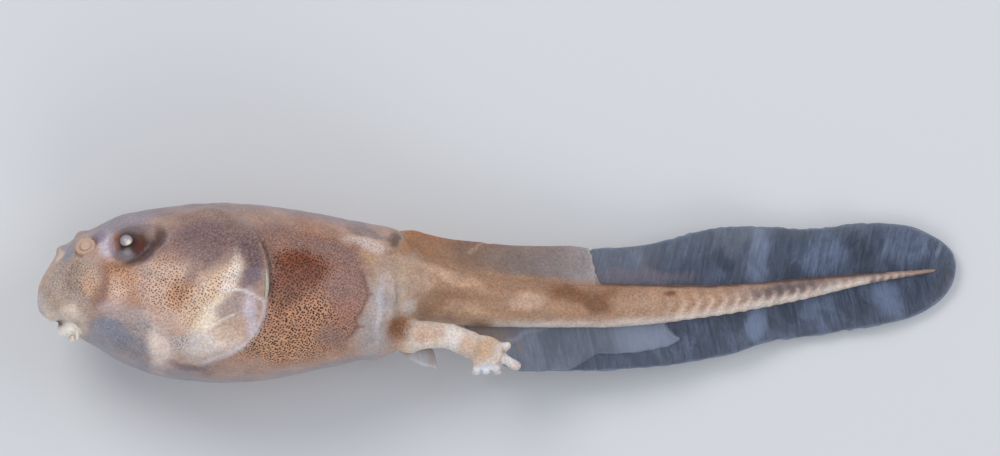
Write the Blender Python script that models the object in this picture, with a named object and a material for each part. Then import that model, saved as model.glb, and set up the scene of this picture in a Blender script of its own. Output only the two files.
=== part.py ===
"""A life-size tadpole of the Amatola toad: a preserved specimen that lies on its right side.

Every shape is worked out in millimetres in the tadpole's own frame, where x runs back from the snout,
y runs up from the belly to the back, and z runs out from the midline to the left flank. At the end
lie_down bends the whole tadpole to the way it lies, and the sizes are turned into metres, with +Z up
and the origin on the floor under the middle of the model.
"""

import math

import bmesh
import bpy
import numpy as np
from mathutils import Matrix, Vector

MM = 0.001
GAP = 0.25  # between neighbouring pieces
WELD = 1e-5

# Head, body and tail muscle: distance behind the snout and height of the back
BACK_LINE = (
    (0.00, -0.08), (0.03, 0.22), (0.13, 0.50), (0.40, 0.96), (0.80, 1.32), (1.30, 1.61),
    (2.00, 1.88), (3.00, 2.06), (4.10, 2.14), (5.00, 2.11), (6.20, 1.91), (7.40, 1.68),
    (8.10, 1.54), (8.70, 0.92), (10.20, 0.55), (12.40, 0.32), (15.20, 0.27), (17.90, 0.47),
    (20.40, 0.64),
)
# The same for the belly
BELLY_LINE = (
    (0.00, -0.08), (0.05, -0.34), (0.30, -0.55), (0.60, -0.66), (1.10, -1.00), (2.10, -1.57),
    (3.00, -1.84), (4.10, -1.94), (5.00, -1.90), (6.20, -1.70), (7.40, -1.42), (8.10, -1.23),
    (8.60, -0.58), (10.40, -0.69), (12.80, -0.70), (15.20, -0.46), (17.30, -0.08),
    (18.70, 0.26), (20.40, 0.57),
)
# Half the width between the flanks
WIDTH_LINE = (
    (0.00, 0.02), (0.05, 0.36), (0.30, 0.86), (0.60, 1.16), (1.10, 1.50), (2.00, 1.90),
    (3.00, 2.14), (4.10, 2.22), (5.00, 2.16), (6.20, 1.90), (7.40, 1.44), (8.20, 1.06),
    (8.90, 0.78), (12.20, 0.57), (15.20, 0.40), (18.50, 0.25), (20.00, 0.20), (20.40, 0.10),
)
WIDEST_LEVEL = 0.46  # of the height, where a section is widest
ROUNDNESS = 2.15  # 2 makes an ellipse, more is boxier
FLESH_SIDES = 28
FLESH_STEP = 0.25
SNOUT_STEP = 0.11  # of the root of the distance, which keeps the blunt snout round
SNOUT_START = 0.04  # root of the distance at which the first section stands

# Height of the midline above the floor: the flank lies on the floor and the tail sinks to it
LIE_LINE = (
    (-0.50, 2.43), (0.00, 2.40), (4.20, 2.15), (8.00, 1.80), (12.00, 1.16), (15.00, 0.68),
    (17.50, 0.34), (18.80, 0.25), (21.50, 0.25),
)

HEAD_END = 2.75
BODY_END = 8.10
TAIL_CUTS = (12.40, 16.30)
TAIL_END = 20.40

# Free edges of the fins above and below the tail
DORSAL_EDGE = (
    (8.20, 1.50), (8.60, 1.50), (9.40, 1.31), (10.80, 1.17), (12.60, 1.10), (13.60, 1.17),
    (15.10, 1.52), (16.20, 1.60), (17.30, 1.55), (18.20, 1.62), (19.00, 1.68), (19.80, 1.60),
)
VENTRAL_EDGE = (
    (9.30, -1.00), (9.80, -1.27), (10.50, -1.55), (11.20, -1.69), (12.60, -1.69),
    (14.20, -1.58), (15.60, -1.32), (16.60, -1.02), (17.60, -0.90), (19.10, -0.64),
    (19.80, -0.48),
)
DORSAL_FIN_START = 8.45
VENTRAL_FIN_START = 9.45
SHEATH_ENDS = (12.60, 14.45)  # the outer skin is torn off the dorsal and ventral fin behind these
TIP_START = 18.70
TIP_END = 20.86
TIP_LIFT = 0.22  # the rounded end of the fin stands this much higher than the middle of its start
TIP_POWER = 0.62  # of the cosine that draws the end: less makes it blunter
TIP_STATIONS = 21
TIP_SIDE_SHARE = 0.42  # of the sweep round the end that runs along each side of the muscle
TIP_TURN_SHARE = 0.08  # of the sweep, each way, that rounds the muscle's end
TIP_ROOT_SPACE = 0.1  # further room round the muscle's end
FIN_HALF = 0.25
SHEATHED_FIN_HALF = 0.30
FIN_EDGE_HALF = 0.11
FIN_STEP = 0.34
FIN_STATIONS = (0.0, 0.35, 0.7, 0.93)  # of the way from root to edge
FIN_TAPER = 0.3  # share of that way, next to the edge, in which a fin thins out

EYE = (2.06, 1.20, 1.42)
EYE_RADIUS = 0.40
LENS_RADIUS = 0.15
LENS_OUT = 0.31  # from the middle of the eye to that of the lens
NOSTRIL = (1.05, 1.15, 1.03)
NOSTRIL_RIM = 0.125
NOSTRIL_WALL = 0.055
SNOUT_TURN = 0.2  # the eyes and nostrils face this much forward

# Swellings of the skin: x, y and z of the middle, reach and height
SWELLINGS = {
    "brow": ((2.05, 1.66, 1.05), 0.55, 0.09),
    "nostril": ((0.95, 1.25, 0.85), 0.40, 0.12),
    "cheek": ((1.50, -0.10, 1.62), 0.80, 0.08),
    "forelimb": ((4.40, -0.60, 2.00), 0.80, 0.10),
}
SWELLING_FALL = 1.6  # how fast a swelling flattens out with the distance from its middle
# The gill chamber of the left flank, whose wall ends in a free edge at the breathing slit
GILL_MIDDLE = (3.75, 0.33)
GILL_REACH = (1.48, 1.76)
GILL_SWELL = 0.17
GILL_RISE = (2.6, 4.2)
SLIT_SPAN = (-14, 34)  # degrees round the edge of the gill chamber
SLIT_RADIUS = 0.15
SLIT_BEHIND = 0.06  # the chamber's edge

LIP_HALF = 0.66
UPPER_LIP = ((0.34, -0.44), (0.19, -0.42), 0.13)  # x and y of its corner and middle, and its radius
MOUTH_LINE = ((0.60, -0.62), (0.43, -0.62), 0.07)
BEAK = ((0.56, -0.56), (0.46, -0.56), 0.06)
LOWER_LIP = ((0.84, -0.78), (0.66, -0.74), 0.17)
PAPILLAE = 9
PAPILLA_LENGTH = 0.11
PAPILLA_RADIUS = 0.055
PAPILLA_BEHIND = 0.085  # the lip's middle line
PAPILLA_LEAN = 0.02
LIP_TAPER = 0.75  # radius at the corner of the mouth over that at its middle
MOUTH_SHARE = 0.9  # of the lips' width
BEAK_SHARE = 0.6
BOW_STATIONS = (-1, -0.6, 0, 0.6, 1)  # from corner to corner

LEG_PATH = ((8.20, -0.92, 0.62), (8.55, -0.87, 0.78), (8.95, -0.88, 0.84), (9.56, -1.03, 0.84))
LEG_RADII = (0.40, 0.35, 0.32, 0.31)
FOOT_MIDDLE = (10.08, -1.22, 0.82)
FOOT_HALVES = (0.40, 0.36, 0.25)
FOOT_TURN = -18  # degrees that the foot hangs below the line of the tail
HEEL = ((9.81, -1.14, 0.83), (10.08, -1.20, 0.82))
HEEL_RADIUS = 0.27
FLANK_AT_LEG = (7.2, 10.5)  # the stretch that the leg's root is shaped to
TOES = (  # root, tip and radius of the first toe to the fifth
    ((9.88, -1.40, 0.82), (9.88, -1.76, 0.80), 0.110),
    ((10.03, -1.42, 0.82), (10.09, -1.76, 0.80), 0.110),
    ((10.16, -1.38, 0.82), (10.42, -1.69, 0.79), 0.115),
    ((10.26, -1.32, 0.82), (10.86, -1.60, 0.78), 0.130),
    ((10.24, -1.16, 0.82), (10.68, -1.07, 0.79), 0.115),
)
FAR_LEG_SHIFT = (0.34, 0.14)  # the right leg lies this much further back and up
VENT_PATH = ((8.44, -1.42, 0.0), (8.68, -1.40, 0.0), (8.92, -1.54, 0.0))
VENT_RADII = (0.17, 0.26, 0.14)

COLOURS = {
    "head": (0.42, 0.27, 0.21),
    "body": (0.32, 0.16, 0.10),
    "tail": (0.28, 0.16, 0.10),
    "eye": (0.08, 0.02, 0.015),
    "hind": (0.66, 0.52, 0.42),
    "vent": (0.30, 0.29, 0.30),
    "dorsal": (0.17, 0.17, 0.19),
    "ventral": (0.14, 0.18, 0.26),
}
WET_ROUGHNESS = 0.35


def smooth_curve(stations, column=1):
    """A function through the stations: cubic pieces whose slopes never make it overshoot."""
    knots = np.array([row[0] for row in stations], float)
    values = np.array([row[column] for row in stations], float)
    rises = np.diff(values) / np.diff(knots)
    before, after = rises[:-1], rises[1:]
    same_way = before * after > 0
    total = np.where(same_way, before + after, 1.0)
    inner = np.where(same_way, 2 * before * after / total, 0.0)
    slopes = np.concatenate([rises[:1], inner, rises[-1:]])

    def curve(x):
        piece = np.clip(np.searchsorted(knots, x) - 1, 0, len(knots) - 2)
        length = knots[piece + 1] - knots[piece]
        t = np.clip((x - knots[piece]) / length, 0, 1)
        rise = t * t * (3 - 2 * t)
        bend = length * t * (1 - t) * ((1 - t) * slopes[piece] - t * slopes[piece + 1])
        return values[piece] + (values[piece + 1] - values[piece]) * rise + bend

    return curve


def smooth_step(low, high, x):
    t = np.clip((x - low) / (high - low), 0, 1)
    return t * t * (3 - 2 * t)


def by_root(line):
    """A curve read by the root of the distance, in which a blunt snout is a straight line."""
    curve = smooth_curve([(math.sqrt(x), value) for x, value in line])
    return lambda x: curve(np.sqrt(x))


back, belly, half_width = by_root(BACK_LINE), by_root(BELLY_LINE), by_root(WIDTH_LINE)
midline_height = smooth_curve(LIE_LINE)
dorsal_margin = smooth_curve(DORSAL_EDGE)
ventral_margin = smooth_curve(VENTRAL_EDGE)


def widest_level(x):
    return belly(x) + WIDEST_LEVEL * (back(x) - belly(x))


def swelling(x, y, z):
    """How far the skin stands out from the plain section at a point of it."""
    height = 0
    for middle, reach, most in SWELLINGS.values():
        far = (x - middle[0]) ** 2 + (y - middle[1]) ** 2 + (np.abs(z) - middle[2]) ** 2
        height = height + most * np.exp(-SWELLING_FALL * far / reach**2)
    round_gill = np.hypot((x - GILL_MIDDLE[0]) / GILL_REACH[0], (y - GILL_MIDDLE[1]) / GILL_REACH[1])
    gill = (1 - smooth_step(0.88, 1.05, round_gill)) * smooth_step(*GILL_RISE, x)
    return height + GILL_SWELL * gill * smooth_step(0.3, 1.2, z)


def flesh(x, angle, extra):
    """The skin of head, body and tail: a rounded section at each x, with the swellings on it."""
    top, bottom, wide, level = back(x), belly(x), half_width(x), widest_level(x)
    across, up = np.cos(angle), np.sin(angle)
    power = 2 / ROUNDNESS
    reach = np.where(up > 0, top - level, level - bottom)
    z = wide * np.sign(across) * np.abs(across) ** power
    y = level + reach * np.sign(up) * np.abs(up) ** power
    rise = swelling(x, y, z) + extra
    out_z, out_y = across / wide, up / np.maximum(reach, 0.01)
    length = np.hypot(out_z, out_y)
    return np.stack([x + 0 * z, y + rise * out_y / length, z + rise * out_z / length], axis=-1)


def lie_down(points):
    """Bends points of the tadpole's frame to the way it lies."""
    x, y, z = points.T
    small = 0.01
    fall = midline_height(x - small) - midline_height(x + small)
    tilt = np.arctan(fall / (2 * small))
    return np.stack([x + z * np.sin(tilt), y, midline_height(x) + z * np.cos(tilt)], axis=-1)


def add_mesh(name, points=(), faces=(), work=None):
    """A new object from points and faces, or from a bmesh, which it frees."""
    mesh = bpy.data.meshes.new(name)
    if work is None:
        work = bmesh.new()
        corners = [work.verts.new(point) for point in points]
        for face in faces:
            work.faces.new([corners[i] for i in face])
        bmesh.ops.remove_doubles(work, verts=work.verts, dist=WELD)
        bmesh.ops.recalc_face_normals(work, faces=work.faces)
    work.to_mesh(mesh)
    work.free()
    made = bpy.data.objects.new(name, mesh)
    bpy.context.scene.collection.objects.link(made)
    return made


def loft(name, rings, face_points=None):
    """A closed solid through rings of points, closed by a fan of triangles at each end.

    face_points is the number of ring points on one face of a thin blade. The two faces of the blade are
    then split into triangles along the same diagonals.
    """
    count, sides = rings.shape[:2]
    points = [*rings.reshape(-1, 3), rings[0].mean(axis=0), rings[-1].mean(axis=0)]
    faces = []
    for i in range(count - 1):
        for j in range(sides):
            a, b = i * sides + j, i * sides + (j + 1) % sides
            if face_points and j >= face_points:
                faces += [(a, b, a + sides), (b, b + sides, a + sides)]
            else:
                faces += [(a, b, b + sides), (a, b + sides, a + sides)]
    last = (count - 1) * sides
    for j in range(sides):
        k = (j + 1) % sides
        faces += [(count * sides, k, j), (count * sides + 1, last + j, last + k)]
    return add_mesh(name, points, faces)


def flesh_length(name, start, end, extra=0.0):
    """One length of the head, body and tail muscle, between two cuts across it."""
    if start == 0:
        x = np.linspace(SNOUT_START, math.sqrt(end), round(math.sqrt(end) / SNOUT_STEP)) ** 2
    else:
        x = np.linspace(start, end, round((end - start) / FLESH_STEP))
    angle = np.linspace(0, 2 * math.pi, FLESH_SIDES, endpoint=False)
    return loft(name, flesh(x[:, None], angle[None, :], extra))


def blade(name, roots, edges, half):
    """A fin: a thin blade from its root line to its free edge, thinner towards the edge."""
    across = np.array(FIN_STATIONS)
    lines = roots[:, None] + (edges - roots)[:, None] * across[:, None]
    thick = FIN_EDGE_HALF + (half - FIN_EDGE_HALF) * np.minimum((1 - across) / FIN_TAPER, 1)
    thick = np.broadcast_to(thick, lines.shape[:2])[..., None]
    left = np.concatenate([lines, thick], axis=-1)
    right = np.concatenate([lines, -thick], axis=-1)[:, ::-1]
    rim = np.pad(edges, ((0, 0), (0, 1)))[:, None]
    return loft(name, np.concatenate([left, rim, right], axis=1), face_points=len(across))


def fin_length(name, start, end, root_line, edge_line, half):
    x = np.linspace(start, end, round((end - start) / FIN_STEP))
    roots = np.stack([x, root_line(x)], axis=-1)
    edges = np.stack([x, edge_line(x)], axis=-1)
    return blade(name, roots, edges, half)


def fin_tip(name):
    """The rounded end of the fin, which runs round the end of the muscle."""
    sweep = np.linspace(0, 1, TIP_STATIONS)
    turn = math.pi * (0.5 - sweep)
    top, low = dorsal_margin(TIP_START), ventral_margin(TIP_START)
    edge_x = TIP_START + (TIP_END - TIP_START) * np.cos(turn) ** TIP_POWER
    edge_y = (top + low) / 2 + (top - low) / 2 * np.sin(turn) + TIP_LIFT * np.cos(turn)
    along = np.minimum(np.minimum(sweep, 1 - sweep) / TIP_SIDE_SHARE, 1)
    x = TIP_START + (TAIL_END - TIP_ROOT_SPACE - TIP_START) * along
    side = np.clip((0.5 - sweep) / TIP_TURN_SHARE, -1, 1)
    above, below = back(x) + GAP, belly(x) - GAP
    root_x = x + (GAP + TIP_ROOT_SPACE) * np.sqrt(1 - side**2)
    root_y = (above + below) / 2 + side * (above - below) / 2
    roots = np.stack([root_x, root_y], axis=-1)
    return blade(name, roots, np.stack([edge_x, edge_y], axis=-1), FIN_HALF)


def tube(name, path, radii, steps=8, resolution=2):
    """A round limb along a smooth path, with rounded ends: a bevelled curve turned into a mesh."""
    marks = np.linspace(0, 1, len(path))
    t = (1 - np.cos(np.linspace(0, math.pi, steps))) / 2
    table = [(mark, *point) for mark, point in zip(marks, path)]
    points = np.stack([smooth_curve(table, column)(t) for column in (1, 2, 3)], axis=-1)
    walked = np.cumsum(np.linalg.norm(np.diff(points, axis=0, prepend=points[:1]), axis=1))
    radius = np.interp(t, np.linspace(0, 1, len(radii)), radii)
    from_end = np.minimum(walked, walked[-1] - walked) / radius
    radius = radius * np.sqrt(1 - (1 - np.clip(from_end, 0.02, 1)) ** 2)
    curve = bpy.data.curves.new(name, "CURVE")
    curve.dimensions = "3D"
    curve.bevel_depth = 1
    curve.bevel_resolution = resolution
    curve.use_fill_caps = True
    spline = curve.splines.new("POLY")
    spline.points.add(steps - 1)
    for point, place, size in zip(spline.points, points, radius):
        point.co = (*place, 1)
        point.radius = size
    guide = bpy.data.objects.new(name, curve)
    bpy.context.scene.collection.objects.link(guide)
    bpy.context.view_layer.update()
    graph = bpy.context.evaluated_depsgraph_get()
    work = bmesh.new()
    work.from_mesh(bpy.data.meshes.new_from_object(guide.evaluated_get(graph)))
    bpy.data.objects.remove(guide)
    bmesh.ops.remove_doubles(work, verts=work.verts, dist=WELD)
    bmesh.ops.recalc_face_normals(work, faces=work.faces)
    return add_mesh(name, work=work)


def on_side(points, side):
    return [(x, y, side * z) for x, y, z in points]


def outward(place):
    """The direction straight out of the skin beside the head, on the side that the place is on."""
    x, y, z = place
    level = float(widest_level(x))
    tall = float(back(x)) - level
    wide = float(half_width(x))
    sideways = Vector((0, (y - level) / tall**2, z / wide**2)).normalized()
    return (sideways + Vector((-SNOUT_TURN, 0, 0))).normalized()


def ball(name, place, radius, segments=14, rings=9):
    work = bmesh.new()
    turn = outward(place).to_track_quat("Z", "Y").to_matrix().to_4x4()
    where = Matrix.Translation(Vector(place)) @ turn
    bmesh.ops.create_uvsphere(work, u_segments=segments, v_segments=rings, radius=radius, matrix=where)
    return add_mesh(name, work=work)


def nostril_rim(name, place):
    bpy.ops.mesh.primitive_torus_add(
        location=place,
        rotation=outward(place).to_track_quat("Z", "Y").to_euler(),
        major_segments=12,
        minor_segments=6,
        major_radius=NOSTRIL_RIM,
        minor_radius=NOSTRIL_WALL,
    )
    made = bpy.context.object
    made.name = name
    made.data.transform(made.matrix_world)
    made.matrix_world = Matrix()
    return made


def lip(name, corner, middle, radius, reach=LIP_HALF):
    """A tube that bows forward across the front of the mouth, from corner to corner."""
    path = []
    for side in BOW_STATIONS:
        ahead = math.cos(math.pi / 2 * side)
        x = corner[0] + (middle[0] - corner[0]) * ahead
        y = corner[1] + (middle[1] - corner[1]) * ahead
        path.append((x, y, side * reach))
    return tube(name, path, (radius * LIP_TAPER, radius, radius * LIP_TAPER), steps=9)


def move_to(made, collection):
    for old in made.users_collection:
        old.objects.unlink(made)
    collection.objects.link(made)


def apply_boolean(base, others, operation):
    """Joins the others to base or cuts them from it, and removes them."""
    tools = bpy.data.collections.new("tools")
    bpy.context.scene.collection.children.link(tools)
    for other in others:
        move_to(other, tools)
    modifier = base.modifiers.new(operation.lower(), "BOOLEAN")
    modifier.operation = operation
    modifier.operand_type = "COLLECTION"
    modifier.collection = tools
    bpy.context.view_layer.update()
    graph = bpy.context.evaluated_depsgraph_get()
    base.data = bpy.data.meshes.new_from_object(base.evaluated_get(graph))
    base.modifiers.clear()
    for other in others:
        bpy.data.objects.remove(other)
    bpy.data.collections.remove(tools)
    keep_largest(base.data)


def keep_largest(mesh):
    """Removes every closed surface but the one with the most room inside."""
    work = bmesh.new()
    work.from_mesh(mesh)
    bmesh.ops.remove_doubles(work, verts=work.verts, dist=WELD)
    bmesh.ops.triangulate(work, faces=work.faces)
    left = set(work.faces)
    shells = []
    while left:
        shell, border = [], [left.pop()]
        while border:
            face = border.pop()
            shell.append(face)
            near = {other for line in face.edges for other in line.link_faces} & left
            left -= near
            border += near
        shells.append(shell)

    def room(shell):
        corners = [[corner.co for corner in face.verts] for face in shell]
        return abs(sum(a.dot(b.cross(c)) for a, b, c in corners))

    largest = max(shells, key=room)
    for shell in shells:
        if shell is not largest:
            bmesh.ops.delete(work, geom=shell, context="FACES")
    work.to_mesh(mesh)
    work.free()


def make_head():
    head = flesh_length("head", 0, HEAD_END)
    added = [lip("upper_lip", *UPPER_LIP), lip("lower_lip", *LOWER_LIP)]
    for i in range(PAPILLAE):
        across = 2 * i / (PAPILLAE - 1) - 1
        ahead = math.cos(math.pi / 2 * across)
        x = LOWER_LIP[0][0] + (LOWER_LIP[1][0] - LOWER_LIP[0][0]) * ahead + PAPILLA_BEHIND
        y = LOWER_LIP[0][1] + (LOWER_LIP[1][1] - LOWER_LIP[0][1]) * ahead
        z = across * LIP_HALF
        path = ((x, y, z), (x + PAPILLA_LEAN, y - LOWER_LIP[2] - PAPILLA_LENGTH, z))
        added.append(tube(f"papilla_{i}", path, [PAPILLA_RADIUS] * 2, steps=5, resolution=1))
    for side in (1, -1):
        added.append(nostril_rim(f"nostril_rim_{side}", on_side([NOSTRIL], side)[0]))
    apply_boolean(head, added, "UNION")
    cutters = [lip("mouth_line", *MOUTH_LINE, reach=LIP_HALF * MOUTH_SHARE)]
    for side in (1, -1):
        cutters.append(ball(f"socket_{side}", on_side([EYE], side)[0], EYE_RADIUS + GAP))
        pit = NOSTRIL_RIM - NOSTRIL_WALL * 0.8
        cutters.append(ball(f"nostril_pit_{side}", on_side([NOSTRIL], side)[0], pit, 8, 6))
    apply_boolean(head, cutters, "DIFFERENCE")
    apply_boolean(head, [lip("beak", *BEAK, reach=LIP_HALF * BEAK_SHARE)], "UNION")
    return head


def make_eye(name, side):
    place = Vector(on_side([EYE], side)[0])
    eye = ball(name, place, EYE_RADIUS)
    apply_boolean(eye, [ball("lens", place + outward(place) * LENS_OUT, LENS_RADIUS, 10, 7)], "UNION")
    return eye


def make_body():
    """The body, with the breathing slit under the rear edge of the left gill chamber."""
    body = flesh_length("body", HEAD_END + GAP, BODY_END)
    path = []
    for degrees in np.linspace(*SLIT_SPAN, 5):
        turn = math.radians(degrees)
        x = GILL_MIDDLE[0] + GILL_REACH[0] * math.cos(turn) + SLIT_BEHIND
        y = GILL_MIDDLE[1] + GILL_REACH[1] * math.sin(turn)
        rise = (y - widest_level(x)) / (back(x) - widest_level(x))
        path.append((x, y, half_width(x) * (1 - abs(rise) ** ROUNDNESS) ** (1 / ROUNDNESS)))
    slit = tube("slit", path, (SLIT_RADIUS * 0.6, SLIT_RADIUS, SLIT_RADIUS * 0.6))
    apply_boolean(body, [slit], "DIFFERENCE")
    return body


def make_leg(word, side):
    """The leg, whose root is shaped to the flank, and the foot with its five toes."""
    back_by, up_by = FAR_LEG_SHIFT if side < 0 else (0, 0)

    def place(points):
        return [(x + back_by, y + up_by, side * z) for x, y, z in points]

    leg = tube(f"hind_leg_{word}", place(LEG_PATH), LEG_RADII, steps=9, resolution=4)
    flank = flesh_length("flank", *FLANK_AT_LEG, extra=GAP)
    apply_boolean(leg, [flank], "DIFFERENCE")
    work = bmesh.new()
    turn = Matrix.Rotation(math.radians(FOOT_TURN), 4, "Z")
    where = Matrix.Translation(place([FOOT_MIDDLE])[0]) @ turn @ Matrix.Diagonal((*FOOT_HALVES, 1))
    bmesh.ops.create_uvsphere(work, u_segments=14, v_segments=8, radius=1, matrix=where)
    foot = add_mesh(f"hind_foot_{word}", work=work)
    added = [tube("heel", place(HEEL), (HEEL_RADIUS, HEEL_RADIUS), steps=6, resolution=3)]
    for i, (root, tip, radius) in enumerate(TOES):
        added.append(tube(f"toe_{i}", place((root, tip)), (radius, radius * 0.9), steps=6))
    apply_boolean(foot, added, "UNION")
    return [leg, foot]


def make_fins():
    def above(x):
        return back(x) + GAP

    def below(x):
        return belly(x) - GAP

    made = []
    for word, start, sheath_end, root, edge in (
        ("dorsal", DORSAL_FIN_START, SHEATH_ENDS[0], above, dorsal_margin),
        ("ventral", VENTRAL_FIN_START, SHEATH_ENDS[1], below, ventral_margin),
    ):
        front_end, rear_start = sheath_end - GAP / 2, sheath_end + GAP / 2
        made.append(fin_length(f"{word}_fin_front", start, front_end, root, edge, SHEATHED_FIN_HALF))
        made.append(fin_length(f"{word}_fin_rear", rear_start, TIP_START - GAP, root, edge, FIN_HALF))
    return [*made, fin_tip("tail_fin_tip")]


def paint(made):
    """A wet, coloured surface for one piece, by the first word of its name."""
    material = bpy.data.materials.new(made.name)
    material.use_nodes = True
    shader = material.node_tree.nodes["Principled BSDF"]
    shader.inputs["Base Color"].default_value = (*COLOURS[made.name.split("_")[0]], 1)
    shader.inputs["Roughness"].default_value = WET_ROUGHNESS
    shader.inputs["Metallic"].default_value = 0
    made.data.materials.clear()
    made.data.materials.append(material)
    made.data.shade_smooth()


def lay_on_floor(made):
    """Bends a piece to the way it lies, and cuts it flat where it presses on the floor."""
    work = bmesh.new()
    work.from_mesh(made.data)
    bent = lie_down(np.array([corner.co for corner in work.verts], float))
    for corner, place in zip(work.verts, bent):
        corner.co = place
    if min(bent[:, 2]) < -WELD:
        geometry = [*work.verts, *work.edges, *work.faces]
        cut = bmesh.ops.bisect_plane(
            work, geom=geometry, plane_co=(0, 0, 0), plane_no=(0, 0, -1), clear_outer=True
        )
        rim = [item for item in cut["geom_cut"] if isinstance(item, bmesh.types.BMEdge)]
        bmesh.ops.contextual_create(work, geom=rim)
        bmesh.ops.recalc_face_normals(work, faces=work.faces)
    bmesh.ops.triangulate(work, faces=work.faces)
    work.to_mesh(made.data)
    work.free()


def stand_at_origin(made, name):
    """Turns millimetres into metres, each piece at its own middle under one empty at the origin."""
    corners = np.array([corner.co for piece in made for corner in piece.data.vertices])
    low, high = corners.min(axis=0), corners.max(axis=0)
    shift = Vector((-(low[0] + high[0]) / 2, -(low[1] + high[1]) / 2, -low[2]))
    home = bpy.data.collections.new(name)
    bpy.context.scene.collection.children.link(home)
    centre = bpy.data.objects.new(name, None)
    home.objects.link(centre)
    for piece in made:
        piece.data.transform(Matrix.Scale(MM, 4) @ Matrix.Translation(shift))
        middle = sum((Vector(corner) for corner in piece.bound_box), Vector()) / 8
        piece.data.transform(Matrix.Translation(-middle))
        piece.location = middle
        piece.parent = centre
        move_to(piece, home)


def main():
    for old in list(bpy.data.objects):
        bpy.data.objects.remove(old)
    made = [make_head(), make_body()]
    starts = [BODY_END + GAP, *(cut + GAP for cut in TAIL_CUTS)]
    for word, start, end in zip(("base", "middle", "end"), starts, (*TAIL_CUTS, TAIL_END)):
        made.append(flesh_length(f"tail_{word}", start, end))
    made += [make_eye("eye_left", 1), make_eye("eye_right", -1)]
    made += [*make_leg("left", 1), *make_leg("right", -1)]
    made += [tube("vent_tube", VENT_PATH, VENT_RADII), *make_fins()]
    for piece in made:
        lay_on_floor(piece)
        paint(piece)
    stand_at_origin(made, "amatola_toad_tadpole")


main()
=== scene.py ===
import itertools
import math

import bpy
import numpy as np
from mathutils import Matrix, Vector


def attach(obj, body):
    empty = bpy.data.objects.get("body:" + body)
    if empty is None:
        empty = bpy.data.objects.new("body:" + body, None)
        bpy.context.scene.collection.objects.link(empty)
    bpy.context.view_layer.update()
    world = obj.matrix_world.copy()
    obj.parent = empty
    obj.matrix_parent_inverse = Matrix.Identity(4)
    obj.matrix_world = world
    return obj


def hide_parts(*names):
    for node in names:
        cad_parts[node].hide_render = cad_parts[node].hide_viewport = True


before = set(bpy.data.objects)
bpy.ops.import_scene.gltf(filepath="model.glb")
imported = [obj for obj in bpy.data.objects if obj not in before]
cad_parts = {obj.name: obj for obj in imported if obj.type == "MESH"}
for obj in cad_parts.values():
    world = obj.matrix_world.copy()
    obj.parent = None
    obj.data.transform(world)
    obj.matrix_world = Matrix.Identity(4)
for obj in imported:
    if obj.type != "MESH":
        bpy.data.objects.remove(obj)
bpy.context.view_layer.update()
print("frame loaded:", len(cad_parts), "nodes")

# Lengths are millimetres of the straight animal: x back from the snout, y up from belly to back,
# z out to the left flank. layDown bends it to the way it lies and turns it into metres.
mm = 0.001

lying = {
    "midline": (  # height of the midline above the floor
        (-0.5, 2.43), (0.0, 2.4), (4.2, 2.15), (8.0, 1.8), (12.0, 1.16), (15.0, 0.68),
        (17.5, 0.34), (18.8, 0.25), (21.5, 0.25),
    ),
    "shift": (-10.4316, -0.0999, 0.0),
}

fleshShape = {
    "back": (
        (0.0, -0.08), (0.03, 0.2), (0.13, 0.45), (0.28, 0.69), (0.42, 0.9), (0.8, 1.29),
        (1.3, 1.575), (2.0, 1.87), (3.0, 2.06), (4.1, 2.14), (5.0, 2.11), (6.2, 1.91), (7.4, 1.68),
        (8.1, 1.54), (8.7, 0.92), (10.2, 0.55), (12.4, 0.32), (15.2, 0.27), (17.9, 0.47),
        (20.4, 0.64),
    ),
    "belly": (
        (0.0, -0.08), (0.05, -0.34), (0.3, -0.55), (0.6, -0.66), (1.1, -1.0), (2.1, -1.57),
        (3.0, -1.84), (4.1, -1.94), (5.0, -1.9), (6.2, -1.7), (7.4, -1.42), (8.1, -1.23),
        (8.6, -0.58), (10.4, -0.69), (12.8, -0.7), (15.2, -0.46), (17.3, -0.08),
        (18.7, 0.26), (20.4, 0.57),
    ),
    "halfWidth": (
        (0.0, 0.02), (0.05, 0.36), (0.3, 0.86), (0.6, 1.16), (1.1, 1.5), (2.0, 1.9),
        (3.0, 2.14), (4.1, 2.22), (5.0, 2.16), (6.2, 1.9), (7.4, 1.44), (8.2, 1.06),
        (8.9, 0.78), (12.2, 0.57), (15.2, 0.4), (18.5, 0.25), (20.0, 0.2), (20.4, 0.1),
    ),
    "widestLevel": 0.46,
    "roundness": 2.15,
    "end": 20.4,
    "voxel": 0.047,
}

legShape = {
    "path": (
        (7.9, -0.86, 0.46), (8.2, -0.88, 0.62), (8.5, -0.86, 0.76), (8.8, -0.845, 0.84),
        (9.12, -0.865, 0.86), (9.44, -0.98, 0.85), (9.72, -1.1, 0.83), (9.95, -1.17, 0.82),
    ),
    "radii": (0.38, 0.37, 0.345, 0.315, 0.292, 0.298, 0.31, 0.25),
    "hip": ((8.36, -1.06, 0.6), (0.24, 0.235, 0.26)),
    "palm": ((10.0, -1.215, 0.82), (0.47, 0.355, 0.215)),
    "palmTurn": -18,
    "web": ((10.03, -1.45, 0.8), (0.31, 0.19, 0.085)),
    "balls": {"hip": 0.24, "palm": 0.36, "web": 0.21},  # that stand for them where distances are measured
    "farShift": (0.34, 0.14),  # the right leg lies this much further back and up
    "toes": (  # root, tip, radius, knob
        ((9.82, -1.36, 0.82), (9.79, -1.78, 0.8), 0.084, 1.6),
        ((9.98, -1.4, 0.82), (10.03, -1.77, 0.8), 0.08, 1.45),
        ((10.12, -1.34, 0.82), (10.32, -1.76, 0.79), 0.09, 1.5),
        ((10.2, -1.27, 0.82), (10.81, -1.61, 0.78), 0.122, 1.08),
        ((10.16, -1.16, 0.82), (10.6, -1.08, 0.79), 0.1, 1.1),
    ),
}

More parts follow.
